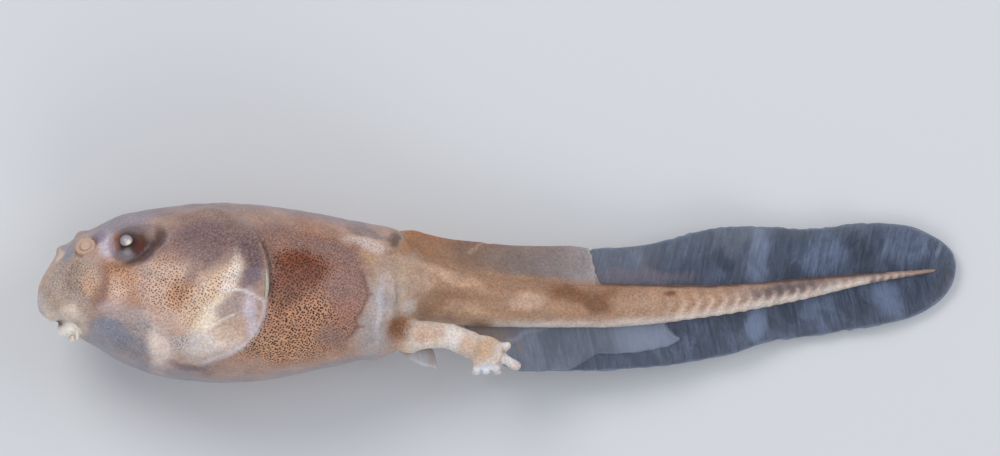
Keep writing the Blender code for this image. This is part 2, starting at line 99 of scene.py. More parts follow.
spans = {  # where along the animal its forms and colours come in and go out
    "flesh": ((0.03, 0.2), (20.2, 20.35)),
    "trunk": (7.5, 9.0),
    "tail": (7.9, 8.9),
    "rims": ((0.7, 1.3), (7.2, 8.1)),
    "muscleBands": ((13.4, 15.2), (19.2, 20.1)),
    "muscleRelief": (17.2, 18.4),
    "legCrease": (9.0, 9.6),
    "finSway": (11.5, 15.0),
}

flanks = ((1, "left"), (-1, "right"))


def smoothCurve(stations, column=1):
    # cubic pieces through the stations; a slope is the harmonic mean of its neighbours, so none overshoots
    knots = np.array([row[0] for row in stations], float)
    values = np.array([row[column] for row in stations], float)
    rises = np.diff(values) / np.diff(knots)
    before, after = rises[:-1], rises[1:]
    sameWay = before * after > 0
    total = np.where(sameWay, before + after, 1.0)
    inner = np.where(sameWay, 2 * before * after / total, 0.0)
    slopes = np.concatenate([rises[:1], inner, rises[-1:]])

    def curve(x):
        piece = np.clip(np.searchsorted(knots, x) - 1, 0, len(knots) - 2)
        length = knots[piece + 1] - knots[piece]
        t = np.clip((x - knots[piece]) / length, 0, 1)
        bend = length * t * (1 - t) * ((1 - t) * slopes[piece] - t * slopes[piece + 1])
        return values[piece] + (values[piece + 1] - values[piece]) * t * t * (3 - 2 * t) + bend

    return curve


def smoothStep(low, high, x):
    t = np.clip((x - low) / (high - low), 0, 1)
    return t * t * (3 - 2 * t)


def between(x, rise, fall):
    # rises from 0 to 1 over the first span and falls again over the second
    return smoothStep(*rise, x) * (1 - smoothStep(*fall, x))


def bell(far, width):
    # 1 in the middle of a line or spot, and falling off to both sides
    return np.exp(-((far / width) ** 2))


def smoothPath(points, t, marks=None):
    # a smooth curve through points of the plane or of space; marks are the values of t at the points
    points = np.array(points, float)
    marks = np.linspace(0, 1, len(points)) if marks is None else marks
    return np.stack([smoothCurve(np.column_stack([marks, column]))(t) for column in points.T], axis=-1)


def lengthAlong(points):
    # how far each point of a chain lies from its start, walked along it
    return np.concatenate([[0], np.cumsum(np.linalg.norm(np.diff(points, axis=0), axis=1))])


def byRoot(line):
    # read by the root of the distance, in which a blunt snout is a straight line
    curve = smoothCurve([(math.sqrt(x), value) for x, value in line])
    return lambda x: curve(np.sqrt(np.maximum(x, 0)))


back, belly, halfWidth = (byRoot(fleshShape[name]) for name in ("back", "belly", "halfWidth"))
midline = smoothCurve(lying["midline"])


def widestLevel(x):
    # a fixed share of the way from belly to back
    return belly(x) + fleshShape["widestLevel"] * (back(x) - belly(x))


def levelAndReach(x, y):
    # the widest level at x, and the distance from it to the back for points above it, or else to the belly
    level = widestLevel(x)
    return level, np.where(y > level, back(x) - level, level - belly(x))


def tilt(x, near=0.01):
    # the angle at which the midline sinks towards the tail
    return np.arctan((midline(x - near) - midline(x + near)) / (2 * near))


def layDown(points):
    # the midline sinks to the floor towards the tail, and what stands out to a flank turns with its slope;
    # what would pass the floor is pressed flat on it
    x, y, z = np.moveaxis(np.asarray(points, float), -1, 0)
    placed = np.stack([x + z * np.sin(tilt(x)), y, midline(x) + z * np.cos(tilt(x))], axis=-1)
    placed = placed + np.array(lying["shift"])
    placed[..., 2] = np.maximum(placed[..., 2], 0)
    return placed * mm


def asSeen(points):
    # side-plane place at which the camera straight above sees a point of the left flank, mirrored for the
    # right: the slope of the midline and the nearness to the camera both move it a little
    x, y, z = np.moveaxis(np.asarray(points, float), -1, 0)
    height = midline(x) + np.abs(z) * np.cos(tilt(x))
    grow = (studio["cameraHeight"] - studio["middleHeight"]) / (studio["cameraHeight"] - height)
    acrossX, acrossY = studio["imageMiddle"]
    seenX = acrossX + (x + np.abs(z) * np.sin(tilt(x)) - acrossX) * grow
    return np.stack([seenX, acrossY + (y - acrossY) * grow, z], axis=-1)


def fromSight(x, y):
    # the point of the left flank that the camera sees at a place of the side plane, found in four steps
    target = np.stack([x, y], axis=-1).astype(float)
    place = target
    for _ in range(4):
        z = flankHeight(place[..., 0], place[..., 1])
        moved = asSeen(np.concatenate([place, z[..., None]], axis=-1))[..., :2] - place
        place = target - moved
    return np.concatenate([place, flankHeight(place[..., 0], place[..., 1])[..., None]], axis=-1)


def noise(points, size, seed=0):
    # value noise from -1 to 1: hashed corners of a cubic lattice, blended by smooth steps
    scaled = np.asarray(points, float) / size
    cell = np.floor(scaled).astype(np.int64)
    t = scaled - cell
    t = t * t * (3 - 2 * t)
    total = np.zeros(scaled.shape[:-1])
    for corner in itertools.product((0, 1), repeat=3):
        at = cell + np.array(corner)
        mixed = at[..., 0] * 73856093 ^ at[..., 1] * 19349663 ^ at[..., 2] * 83492791 ^ (seed + 1) * 6542989
        mixed = (mixed ^ (mixed >> 13)) * 1274126177 & 0xFFFFFFFF
        mixed = mixed ^ (mixed >> 15)
        share = np.prod(np.where(np.array(corner) == 1, t, 1 - t), axis=-1)
        total += share * ((mixed & 0xFFFF) / 32767.5 - 1)
    return total


def waves(points, layers):
    # noise of several heights and sizes, each with its own seed
    return sum(height * noise(points, size, seed) for height, size, seed in layers)


def lineDistance(x, y, points):
    # distance in the side plane from each point to a chain of straight pieces, and its share along the chain
    best, along = np.full(np.shape(x), 1e9), np.zeros(np.shape(x))
    count = len(points) - 1
    for i, ((ax, ay), (bx, by)) in enumerate(zip(points[:-1], points[1:])):
        dx, dy = bx - ax, by - ay
        t = np.clip(((x - ax) * dx + (y - ay) * dy) / (dx * dx + dy * dy), 0, 1)
        far = np.hypot(x - ax - t * dx, y - ay - t * dy)
        along = np.where(far < best, (i + t) / count, along)
        best = np.minimum(best, far)
    return best, along


def ovalDistance(x, y, middle, reach, turn=0):
    # 1 on the edge of a turned oval, less inside it
    cosine, sine = math.cos(math.radians(turn)), math.sin(math.radians(turn))
    dx, dy = x - middle[0], y - middle[1]
    return np.hypot((dx * cosine + dy * sine) / reach[0], (dy * cosine - dx * sine) / reach[1])


def linear(colour):
    # screen colour of 0 to 255 to the linear values that a shader takes
    value = np.array(colour, float) / 255
    return np.where(value <= 0.04045, value / 12.92, ((value + 0.055) / 1.055) ** 2.4)


def blend(colour, tone, mask):
    # each colour moves by its mask towards a screen colour, or towards linear colours of its own
    tone = linear(tone) if np.ndim(tone) == 1 else tone
    return colour + (tone - colour) * mask[..., None]


def buildMesh(name, points, *faceSets):
    # the faces are turned over where the volume that they enclose comes out negative
    mesh = bpy.data.meshes.new(name)
    corners = [points[faces[:, :3]] for faces in faceSets]
    room = sum(np.einsum("ij,ij->", c[:, 0], np.cross(c[:, 1], c[:, 2])) for c in corners)
    if room < 0:
        faceSets = [faces[:, ::-1] for faces in faceSets]
    flat = np.concatenate([faces.ravel() for faces in faceSets])
    sizes = np.concatenate([np.full(len(faces), faces.shape[1]) for faces in faceSets])
    mesh.vertices.add(len(points))
    mesh.vertices.foreach_set("co", points.astype(np.float32).ravel())
    mesh.loops.add(len(flat))
    mesh.loops.foreach_set("vertex_index", flat.astype(np.int32))
    mesh.polygons.add(len(sizes))
    mesh.polygons.foreach_set("loop_start", (np.cumsum(sizes) - sizes).astype(np.int32))
    mesh.update(calc_edges=True)
    mesh.shade_smooth()
    return mesh


def closedGrid(rings):
    # rings of points, each joined round, with a fan to the middle at each end
    count, sides = rings.shape[:2]
    points = np.concatenate([rings.reshape(-1, 3), rings[:1].mean(axis=1), rings[-1:].mean(axis=1)])
    i, j = np.meshgrid(np.arange(count - 1), np.arange(sides), indexing="ij")
    a, b = i * sides + j, i * sides + (j + 1) % sides
    quads = np.stack([a, b, b + sides, a + sides], axis=-1).reshape(-1, 4)
    j = np.arange(sides)
    k, last = (j + 1) % sides, (count - 1) * sides
    first = np.stack([np.full(sides, count * sides), k, j], axis=-1)
    end = np.stack([np.full(sides, count * sides + 1), last + j, last + k], axis=-1)
    return points, quads, np.concatenate([first, end])


def joinSolids(solids):
    # one set of points and faces from several closed grids
    points, quads, triangles = zip(*solids)
    starts = np.cumsum([0] + [len(part) for part in points])
    quads, triangles = ([faces + start for faces, start in zip(kind, starts)] for kind in (quads, triangles))
    return np.concatenate(points), np.concatenate(quads), np.concatenate(triangles)


def roundEnd(share, least):
    # closes an end as a half circle does: from nearly 0 at the end to 1 where share is 1
    return np.sqrt(1 - (1 - np.clip(share, least, 1)) ** 2)


def tubeRings(path, radii, steps, sides, knob=1.0):
    # a round limb: circles square to a smooth path, closed round at both ends; knob swells the tip
    t = (1 - np.cos(np.linspace(0, math.pi, steps))) / 2
    middle = smoothPath(path, t)
    walked = lengthAlong(middle)
    radius = np.interp(t, np.linspace(0, 1, len(radii)), radii)
    radius = radius * (1 + (knob - 1) * smoothStep(0.55, 0.85, t))
    radius = radius * roundEnd(np.minimum(walked, walked[-1] - walked) / radius, 0.02)
    ahead = np.gradient(middle, axis=0)
    ahead /= np.linalg.norm(ahead, axis=1)[:, None]
    guide = np.array([0.0, 0.0, 1.0]) if abs(ahead[:, 2]).mean() < 0.7 else np.array([1.0, 0.0, 0.0])
    across = np.cross(ahead, guide)
    across /= np.linalg.norm(across, axis=1)[:, None]
    up = np.cross(across, ahead)
    angle = np.linspace(0, 2 * math.pi, sides, endpoint=False)[None, :, None]
    circle = across[:, None] * np.cos(angle) + up[:, None] * np.sin(angle)
    return middle[:, None] + radius[:, None, None] * circle


def ballRings(middle, halves, steps=24, sides=32, turn=0):
    # a turned oval ball, from pole to pole along x
    a, b = np.linspace(0.02, math.pi - 0.02, steps), np.linspace(0, 2 * math.pi, sides, endpoint=False)
    x = (-np.cos(a)[:, None] + 0 * b) * halves[0]
    y, z = np.sin(a)[:, None] * np.cos(b) * halves[1], np.sin(a)[:, None] * np.sin(b) * halves[2]
    cosine, sine = math.cos(math.radians(turn)), math.sin(math.radians(turn))
    return np.stack([x * cosine - y * sine, x * sine + y * cosine, z], axis=-1) + middle


def setAttribute(mesh, name, values):
    values = np.asarray(values, np.float32)
    kind, field = {1: ("FLOAT", "value"), 2: ("FLOAT_COLOR", "color")}[values.ndim]
    if values.ndim == 2:
        values = np.concatenate([values, np.ones((len(values), 1), np.float32)], axis=1)
    mesh.attributes.new(name, kind, "POINT").data.foreach_set(field, values.ravel())


def setFlow(mesh, u, v):
    # the two lengths along the surface that its patterns follow
    flow = np.stack([u, v, 0 * u], axis=-1).astype(np.float32)
    mesh.attributes.new("flow", "FLOAT_VECTOR", "POINT").data.foreach_set("vector", flow.ravel())


def readVectors(mesh, field):
    values = np.empty(len(mesh.vertices) * 3, np.float32)
    mesh.vertices.foreach_get(field, values)
    return values.reshape(-1, 3).astype(float)


def writePoints(mesh, points):
    mesh.vertices.foreach_set("co", points.astype(np.float32).ravel())
    mesh.update()


def addObject(name, data):
    made = bpy.data.objects.new(name, data)
    bpy.context.scene.collection.objects.link(made)
    return made


def addPiece(name, mesh, points, material, slot, *nodes):
    # lays the mesh down from its straight form, puts it under the root body and hides the nodes that it
    # stands for
    writePoints(mesh, layDown(points))
    made = addObject(name, mesh)
    mesh.materials.append(material)
    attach(made, "root")
    if nodes:
        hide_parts(*nodes)


def addSolid(name, solid, colour, material, slot):
    mesh = buildMesh(name, *solid)
    setAttribute(mesh, "skinColour", colour)
    addPiece(name, mesh, solid[0], material, slot)


# Camera, floor and light

studio = {
    "cameraHeight": 300.0,
    "imageWidth": 22.67,  # of the plane at the height of the animal's middle
    "imageMiddle": (10.47, 1.565),
    "middleHeight": 1.6,
    "floorSize": 600.0,
    "floorColour": (214, 216, 218),
    "floorRoughness": 0.9,
    "worldColour": (0.86, 0.9, 1.0),
    "worldStrength": 0.55,
    "lights": (  # place, size across, power, colour
        ((-70, 90, 130), 90, 0.115, (1.0, 0.97, 0.93)),
        ((110, 40, 120), 110, 0.06, (0.95, 0.97, 1.0)),
        ((10, -120, 90), 100, 0.04, (1.0, 0.98, 0.96)),
    ),
}


def setStage():
    scene = bpy.context.scene
    scene.view_settings.view_transform = "Standard"
    data = bpy.data.cameras.new("photoCamera")
    middle = np.array([*studio["imageMiddle"], 0]) + np.array(lying["shift"])
    data.sensor_width = 36
    data.lens = data.sensor_width * (studio["cameraHeight"] - studio["middleHeight"]) / studio["imageWidth"]
    data.clip_start = 0.01
    data.clip_end = 10
    scene.camera = addObject("photoCamera", data)
    scene.camera.location = (middle[0] * mm, middle[1] * mm, studio["cameraHeight"] * mm)

    side = studio["floorSize"] / 2 * mm
    mesh = bpy.data.meshes.new("floor")
    corners = [(-side, -side, 0), (side, -side, 0), (side, side, 0), (-side, side, 0)]
    mesh.from_pydata(corners, [], [(0, 1, 2, 3)])
    floor = addObject("floor", mesh)
    material, _, shader = newMaterial("floorPaper")
    paper = {"Base Color": (*linear(studio["floorColour"]), 1), "Roughness": studio["floorRoughness"]}
    setSockets(shader, paper)
    mesh.materials.append(material)

    world = bpy.data.worlds.new("studioWorld")
    world.use_nodes = True
    sky = {"Color": (*studio["worldColour"], 1), "Strength": studio["worldStrength"]}
    setSockets(world.node_tree.nodes["Background"], sky)
    scene.world = world
    for i, (place, size, power, colour) in enumerate(studio["lights"]):
        data = bpy.data.lights.new(f"softLight{i}", "AREA")
        data.shape = "DISK"
        data.size = size * mm
        data.energy = power
        data.color = colour
        light = addObject(f"softLight{i}", data)
        light.location = Vector(place) * mm
        light.rotation_euler = Vector(place).to_track_quat("Z", "Y").to_euler()
        light.visible_camera = False


# Shader helpers and shared groups

def feed(tree, socket, value):
    # a link where the value comes from another node, or else the socket's own value
    if isinstance(value, bpy.types.NodeSocket):
        tree.links.new(value, socket)
    else:
        socket.default_value = value


def addNode(tree, kind, values=None, **settings):
    made = tree.nodes.new(kind)
    for key, value in settings.items():
        setattr(made, key, value)
    for key, value in (values or {}).items():
        feed(tree, made.inputs[key], value)
    return made


def mixColours(tree, factor, a, b, way="MIX"):
    made = addNode(tree, "ShaderNodeMix", {0: factor}, data_type="RGBA", blend_type=way)
    for index, value in ((6, a), (7, b)):
        feed(tree, made.inputs[index], value if isinstance(value, bpy.types.NodeSocket) else (*value, 1))
    return made.outputs[2]


def mathNode(tree, operation, *values):
    return addNode(tree, "ShaderNodeMath", dict(enumerate(values)), operation=operation).outputs[0]


def scaled(tree, vector, amount):
    return addNode(tree, "ShaderNodeVectorMath", {0: vector, "Scale": amount}, operation="SCALE").outputs[0]


def mapRange(tree, value, start, end, least=0.0, most=1.0, way="LINEAR"):
    values = {"Value": value, "From Min": start, "From Max": end, "To Min": least, "To Max": most}
    return addNode(tree, "ShaderNodeMapRange", values, interpolation_type=way).outputs[0]


def noiseNode(tree, vector, scale, detail, roughness=0.5, twist=0.0, space="3D"):
    values = {"Vector": vector, "Scale": scale, "Detail": detail, "Roughness": roughness, "Distortion": twist}
    return addNode(tree, "ShaderNodeTexNoise", values, noise_dimensions=space).outputs


def makeGroup(name, inputs, outputs):
    tree = bpy.data.node_groups.new(name, "ShaderNodeTree")
    for label, value in inputs.items():
        kind = "NodeSocketVector" if value is None else "NodeSocketFloat"
        socket = tree.interface.new_socket(label, in_out="INPUT", socket_type=kind)
        if value is not None:
            socket.default_value = value
    for label in outputs:
        tree.interface.new_socket(label, in_out="OUTPUT", socket_type="NodeSocketFloat")
    return tree, tree.nodes.new("NodeGroupInput").outputs, tree.nodes.new("NodeGroupOutput").inputs


spotPattern = {
    "turn": 0.5,
    "driftScale": 4.5,
    "drift": 0.07,  # how far the rows of dots bend
    "randomness": 0.64,
    "wanderScale": 6.0,  # of the dots' own size
}


def makeSpotGroup():
    # round pigment cells: dark within a given share of the way to the next cell of a cellular pattern
    inputs = {"Vector": None, "Spacing": 0.08, "Size": 0.3, "Softness": 0.12, "Amount": 1.0}
    tree, given, out = makeGroup("pigmentSpots", inputs, ["Mask"])
    flow, look = given["Vector"], spotPattern
    turned = addNode(tree, "ShaderNodeMapping", {"Vector": flow, "Rotation": (0, 0, look["turn"])})
    moved = scaled(tree, noiseNode(tree, flow, look["driftScale"], 1.0, space="2D")[1], look["drift"])
    placed = addNode(tree, "ShaderNodeVectorMath", {0: turned.outputs[0], 1: moved}, operation="ADD")
    scale = mathNode(tree, "DIVIDE", 1.0, given["Spacing"])
    cells = addNode(
        tree, "ShaderNodeTexVoronoi",
        {"Vector": placed.outputs[0], "Scale": scale, "Randomness": look["randomness"]},
        voronoi_dimensions="2D", feature="F1",
    )
    drifting = noiseNode(tree, flow, look["wanderScale"], 2.0, space="2D")[0]
    size = mathNode(tree, "MULTIPLY", given["Size"], mathNode(tree, "ADD", drifting, 0.5))
    size = mathNode(tree, "MULTIPLY", size, mathNode(tree, "POWER", given["Amount"], 0.5))
    inner, outer = (mathNode(tree, way, size, given["Softness"]) for way in ("SUBTRACT", "ADD"))
    edge = mapRange(tree, cells.outputs["Distance"], inner, outer, 1.0, 0.0, "SMOOTHSTEP")
    tree.links.new(mathNode(tree, "MULTIPLY", edge, given["Amount"]), out["Mask"])
    return tree


def makeGrainGroup():
    # cloudy change of tone at two sizes, and the height of the fine wrinkles of wet skin
    inputs = {"Vector": None, "Cloud Size": 0.5, "Fine Size": 0.06}
    tree, given, out = makeGroup("skinGrain", inputs, ["Cloud", "Fine", "Height"])
    for label, size, top, detail, roughness, twist in (
        ("Cloud", "Cloud Size", 1.0, 3.0, 0.6, 0.0),
        ("Fine", "Fine Size", 1.0, 3.0, 0.6, 0.0),
        ("Height", "Fine Size", 0.7, 4.0, 0.5, 0.6),
    ):
        scale = mathNode(tree, "DIVIDE", top, given[size])
        tree.links.new(noiseNode(tree, given["Vector"], scale, detail, roughness, twist)[0], out[label])
    return tree


spotGroup = makeSpotGroup()
grainGroup = makeGrainGroup()


def newMaterial(name):
    material = bpy.data.materials.new(name)
    material.use_nodes = True
    return material, material.node_tree, material.node_tree.nodes["Principled BSDF"]


def setSockets(shader, values):
    for key, value in values.items():
        shader.inputs[key].default_value = value


def objectInMillimetres(tree):
    return scaled(tree, addNode(tree, "ShaderNodeTexCoord").outputs["Object"], 1000.0)


def attribute(tree, name, output="Fac"):
    return addNode(tree, "ShaderNodeAttribute", attribute_name=name).outputs[output]


setStage()
print("stage set")


# The skin: one surface over head, body, tail muscle and hind legs

swellings = {  # middle, reach and height of soft bulges, and whether both flanks have them
    "brow": ((2.05, 1.66, 1.05), 0.55, 0.09, True),
    "nostril": ((0.95, 1.25, 0.85), 0.4, 0.12, True),
    "cheek": ((1.5, -0.1, 1.62), 0.8, 0.08, True),
    "forelimb": ((4.4, -0.6, 2.0), 0.8, 0.085, True),
    "farNostril": ((0.54, 1.08, -0.02), 0.16, 0.1, False),
    "noseTop": ((0.97, 1.43, 0.25), 0.2, 0.11, False),
    "browTop": ((1.98, 1.8, 0.45), 0.42, 0.045, False),
    "skinFlap": ((7.66, -1.42, 0.1), 0.26, 0.08, False),
}

gill = {  # the chamber of the left flank, whose wall ends in a free edge
    "middle": (3.75, 0.33),
    "reach": (1.48, 1.76),
    "swell": 0.16,
    "rise": (2.6, 4.2),  # from the cheek
    "softEdge": (0.86, 1.06),  # shares of the reach between which the wall falls
    "hardEdge": (0.985, 1.035),
    "hard": ((-115, -60), (40, 62)),  # degrees round the edge over which it turns hard, and soft again
    "slit": ((-24, -4), (34, 50)),
    "slitLine": (1.045, 0.024),
    "slitDepth": 0.085,
}

eyes = {
    "middle": (2.07, 1.17),
    "radius": 0.6,
    "sunk": 0.5,
    "lensAt": (2.005, 1.262),
    "lensRadius": 0.153,
    "lensProud": -0.035,  # of its middle over the ball
    "forward": 0.2,
    "socketRim": (0.5, 0.1, 0.045),  # distance from the axis, width, height
    "socketPit": (0.17, 0.31, 0.4),  # where its wall starts and ends, depth
}

nostrils = {
    "mound": (0.28, 0.05),  # width, height
    "groove": (0.125, 0.022),  # distance from the axis, width
    "rim": (0.185, 0.03),
    "middle": (1.07, 1.155),
    "facing": (-0.34, 0.66, 1.0),
    "uneven": ((0.04, 2, 0.6), (0.02, 3, 0)),  # share of the radius, waves round the rim, phase
    "grooveShade": (0.55, 0.45, 2.3),  # mean and swing of the groove's shade round the rim, and phase
    "grooveFloor": -0.05,
    "proud": 0.062,
    "profile": (  # distance from the axis, height
        (0.0, 0.022), (0.05, 0.022), (0.1, 0.018), (0.13, 0.008), (0.15, 0.018), (0.17, 0.03),
        (0.195, 0.03), (0.215, 0.016), (0.228, -0.03), (0.23, -0.12), (0.2, -0.2), (0.0, -0.2),
    ),
}

lips = {  # at the corner and at the middle of the mouth, thickness
    "upper": ((0.38, -0.455), (0.27, -0.415), 0.105),
    "mouth": ((0.58, -0.62), (0.45, -0.59), 0.06),
    "lower": ((0.77, -0.765), (0.61, -0.765), 0.175),
    "beakAbove": ((0.55, -0.56), (0.43, -0.53), 0.022),
    "beakBelow": ((0.66, -0.65), (0.54, -0.64), 0.024),
    "half": 0.66,
    "beakReach": 0.52,  # share of the half width
    "papillae": ((-0.95, -0.5, 4), (0.45, 0.75, 4)),  # from and to which share of the half width, how many
    "papillaRadius": 0.03,
    "papillaRoot": (0.07, -0.10, 1.02),  # from the lip's line, and share of the mouth's half width
    "papillaLean": ((0.04, 0.01, 40), (-0.12, -0.02, 61)),  # back and up: mean, swing, and how fast it varies
    "papillaSpread": 0.03,
    "papillaBend": 0.012,
    "longPapilla": ((0.12, 0.03, 0.75), (0.12, -0.19, 0.73)),  # at the left corner: root and tip
    "gape": (0.07, 0.09),  # width, depth
}

relief = {  # height, size and seed of small unevenness
    "trunk": ((0.022, 0.9, 1), (0.012, 0.35, 2)),
    "everywhere": ((0.006, 0.16, 3), (0.003, 0.09, 4)),
    "trunkSinks": 0.012,
    "muscleBand": 0.003,
    "muscleBandBelow": 0.005,
}

# Creases (negative) and ridges (positive) of the skin: points in the side plane, width and height,
# and the flank: 1 left, 0 both
folds = {
    "behindEye": (((2.38, 0.84), (2.62, 1.02), (2.94, 1.36)), 0.055, 0.06, 0),
    "behindEyeGroove": (((2.32, 0.95), (2.56, 1.14), (2.84, 1.44)), 0.055, -0.05, 0),
    "cheekFront": (((1.52, 0.78), (1.43, 0.3), (1.36, -0.15)), 0.1, -0.03, 0),
    "cheekRear": (((2.28, 0.88), (2.24, 0.35), (2.38, -0.25)), 0.14, -0.04, 0),
    "jaw": (((0.98, -0.62), (1.35, -0.7), (1.95, -0.6)), 0.12, -0.02, 0),
    "gillTube": (((4.2, 0.16), (4.52, 0.17), (4.86, 0.08), (5.1, -0.08)), 0.045, 0.045, 1),
    "gillTubeGroove": (((4.3, 0.06), (4.62, 0.06), (4.9, -0.04)), 0.06, -0.035, 1),
    "gillCrease": (((3.85, -0.76), (4.2, -0.56), (4.5, -0.43)), 0.06, -0.035, 1),
    "gillCreaseLow": (((4.62, -0.72), (4.86, -0.52), (4.98, -0.3)), 0.06, -0.02, 1),
    "hipRidge": (((8.02, 0.55), (8.05, 0.0), (7.98, -0.5), (7.84, -1.05)), 0.075, 0.05, 0),
    "hipGroove": (((8.18, 0.3), (8.22, -0.2), (8.14, -0.7)), 0.08, -0.04, 0),
    "borderFold": (((7.72, 0.1), (7.76, -0.45), (7.66, -0.95)), 0.07, 0.022, 0),
    "legTop": (((8.4, -0.32), (8.62, -0.4), (8.95, -0.5), (9.3, -0.58)), 0.055, -0.02, 0),
    "legKnob": (((8.26, -0.25), (8.36, -0.38)), 0.07, 0.05, 1),
    "tailMiddle": (((8.55, 0.02), (9.6, -0.05), (11.4, -0.12), (13.0, -0.16)), 0.11, -0.035, 0),
    "skinEdge": (
        ((7.4, 0.45), (7.48, 0.16), (7.5, 0.02), (7.36, -0.32), (7.2, -0.51), (7.27, -0.65), (7.1, -0.88),
         (7.0, -1.04)),
        0.045, 0.018, 0,
    ),
}


def gillRound(x, y):
    # 1 on the edge of the gill chamber
    return np.hypot((x - gill["middle"][0]) / gill["reach"][0], (y - gill["middle"][1]) / gill["reach"][1])


def broadForm(x, y, z):
    # how far the soft bulges stand out: a bell round the middle of each, and the wall of the gill chamber,
    # which falls softly in front and hard behind, where a slit follows it
    height = 0
    for middle, reach, most, both in swellings.values():
        side = np.abs(z) if both else z
        far = (x - middle[0]) ** 2 + (y - middle[1]) ** 2 + (side - middle[2]) ** 2
        height = height + most * np.exp(-1.6 * far / reach**2)
    turn = np.degrees(np.arctan2(y - gill["middle"][1], x - gill["middle"][0]))
    seenX, seenY = np.moveaxis(asSeen(np.stack([x, y, z], axis=-1)), -1, 0)[:2]
    ring, onLeft = gillRound(seenX, seenY), smoothStep(0.3, 1.2, z)
    soft, hard = (1 - smoothStep(*gill[edge], ring) for edge in ("softEdge", "hardEdge"))
    wall = (soft + (hard - soft) * between(turn, *gill["hard"])) * smoothStep(*gill["rise"], seenX)
    middle, width = gill["slitLine"]
    slit = bell(ring - middle, width) * between(turn, *gill["slit"])
    return height + (gill["swell"] * wall - gill["slitDepth"] * slit) * onLeft


def flankHeight(x, y):
    # z of the left flank at a point of the side plane
    level, reach = levelAndReach(x, y)
    power = fleshShape["roundness"]
    z = halfWidth(x) * np.maximum(1 - (np.abs(y - level) / reach) ** power, 0) ** (1 / power)
    return z + broadForm(x, y, z)


eyePlace = fromSight(*eyes["middle"])
nostrilPlace = fromSight(*nostrils["middle"])


def outward(place):
    # straight out of the head beside the place, turned a little to the snout
    x, y, z = place
    level = widestLevel(x)
    sideways = Vector((0, (y - level) / (back(x) - level) ** 2, z / halfWidth(x) ** 2)).normalized()
    return (sideways + Vector((-eyes["forward"], 0, 0))).normalized()


def fromAxis(points, place):
    # distance of each point from the line straight out through a place and its mirror place
    near = np.array(points)
    near[:, 2] = np.abs(near[:, 2])
    ahead = np.array(outward(place))
    apart = near - np.array(place)
    out = apart @ ahead
    return np.linalg.norm(apart - out[:, None] * ahead, axis=1), out


def myomeres(x, y):
    # bands of the tail muscle, bent like a V, closer together towards the tip
    middle = (back(x) + belly(x)) / 2
    wide, narrowing = 0.7, 0.026  # spacing at the snout, and how much it shrinks in each millimetre
    phase = -2 * math.pi / narrowing * np.log(wide - narrowing * (x + 0.5 * np.abs(y - middle)))
    return np.cos(phase), between(x, *spans["muscleBands"])


def fineRelief(points, legGap):
    # folds, eye socket, nostril, mouth, muscle bands and small unevenness
    x, y, z = asSeen(points).T
    onFlesh = smoothStep(0.0, 0.12, legGap)
    height = np.zeros(len(x))
    for line, width, most, flank in folds.values():
        far, along = lineDistance(x, y, line)
        fade = smoothStep(0, 0.25, along) * smoothStep(0, 0.25, 1 - along)
        side = smoothStep(0.0, 0.4, z) if flank else smoothStep(0.1, 0.5, np.abs(z))
        height += most * bell(far, width) * (0.25 + 0.75 * fade) * side
    far, out = fromAxis(points, eyePlace)
    (radius, width, rise), (inner, outer, depth) = eyes["socketRim"], eyes["socketPit"]
    socket = rise * bell(far - radius, width) - depth * (1 - smoothStep(inner, outer, far))
    height += smoothStep(-0.6, -0.2, out) * socket
    far, out = fromAxis(points, nostrilPlace)
    width, rise = nostrils["mound"]
    height += smoothStep(-0.4, -0.15, out) * rise * bell(far, width)
    width, depth = lips["gape"]
    height -= depth * bell(linesDistance(points, [(lipLine("mouth"), (0.0, 0.0), 40)]), width)
    band, share = myomeres(x, y)
    bottom = 1 - smoothStep(0.0, 0.25, y - belly(x))
    ripple = band * (relief["muscleBand"] + relief["muscleBandBelow"] * bottom)
    height += onFlesh * share * ripple * (1 - smoothStep(*spans["muscleRelief"], x))
    trunk = 1 - smoothStep(*spans["trunk"], x)
    height += onFlesh * trunk * waves(points, relief["trunk"]) + waves(points, relief["everywhere"])
    return height - relief["trunkSinks"] * trunk


def legParts(side):
    # closed grids of one leg: thigh and shank, hip, palm and toes
    def flip(points):
        shift = (0, 0, 0) if side > 0 else (*legShape["farShift"], 0)
        return (np.array(points) + np.array(shift)) * np.array([1, 1, side])

    parts = [tubeRings(flip(legShape["path"]), legShape["radii"], 60, 40)]
    parts.append(ballRings(flip(legShape["hip"][0]), legShape["hip"][1]))
    parts.append(ballRings(flip(legShape["palm"][0]), legShape["palm"][1], turn=legShape["palmTurn"]))
    parts.append(ballRings(flip(legShape["web"][0]), legShape["web"][1]))
    for root, tip, radius, knob in legShape["toes"]:
        parts.append(tubeRings(flip((root, tip)), (radius, radius * 0.94), 26, 20, knob=knob))
    return [closedGrid(rings) for rings in parts]


def linesDistance(points, chains):
    # how far each point lies outside round limbs, from balls strung along their lines
    best = np.full(len(points), 1e9)
    for line, radii, count in chains:
        t = np.linspace(0, 1, count)
        marks = np.linspace(0, 1, len(line))
        places = np.stack([np.interp(t, marks, column) for column in np.array(line).T], axis=-1)
        sizes = np.interp(t, np.linspace(0, 1, len(radii)), radii)
        for place, size in zip(places, sizes):
            best = np.minimum(best, np.linalg.norm(points - place, axis=1) - size)
    return best


def nearSide(points):
    # the same points as if the right leg stood where the left one does
    near = np.array(points)
    near[:, :2] -= np.where(points[:, 2:] < 0, np.array(legShape["farShift"]), 0)
    near[:, 2] = np.abs(near[:, 2])
    return near


def legDistance(points):
    near = nearSide(points)
    chains = [(legShape["path"], legShape["radii"], 30)]
    chains += [((legShape[part][0],) * 2, (size,) * 2, 2) for part, size in legShape["balls"].items()]
    chains += [((root, tip), (radius, radius), 8) for root, tip, radius, _ in legShape["toes"]]
    return linesDistance(near, chains)


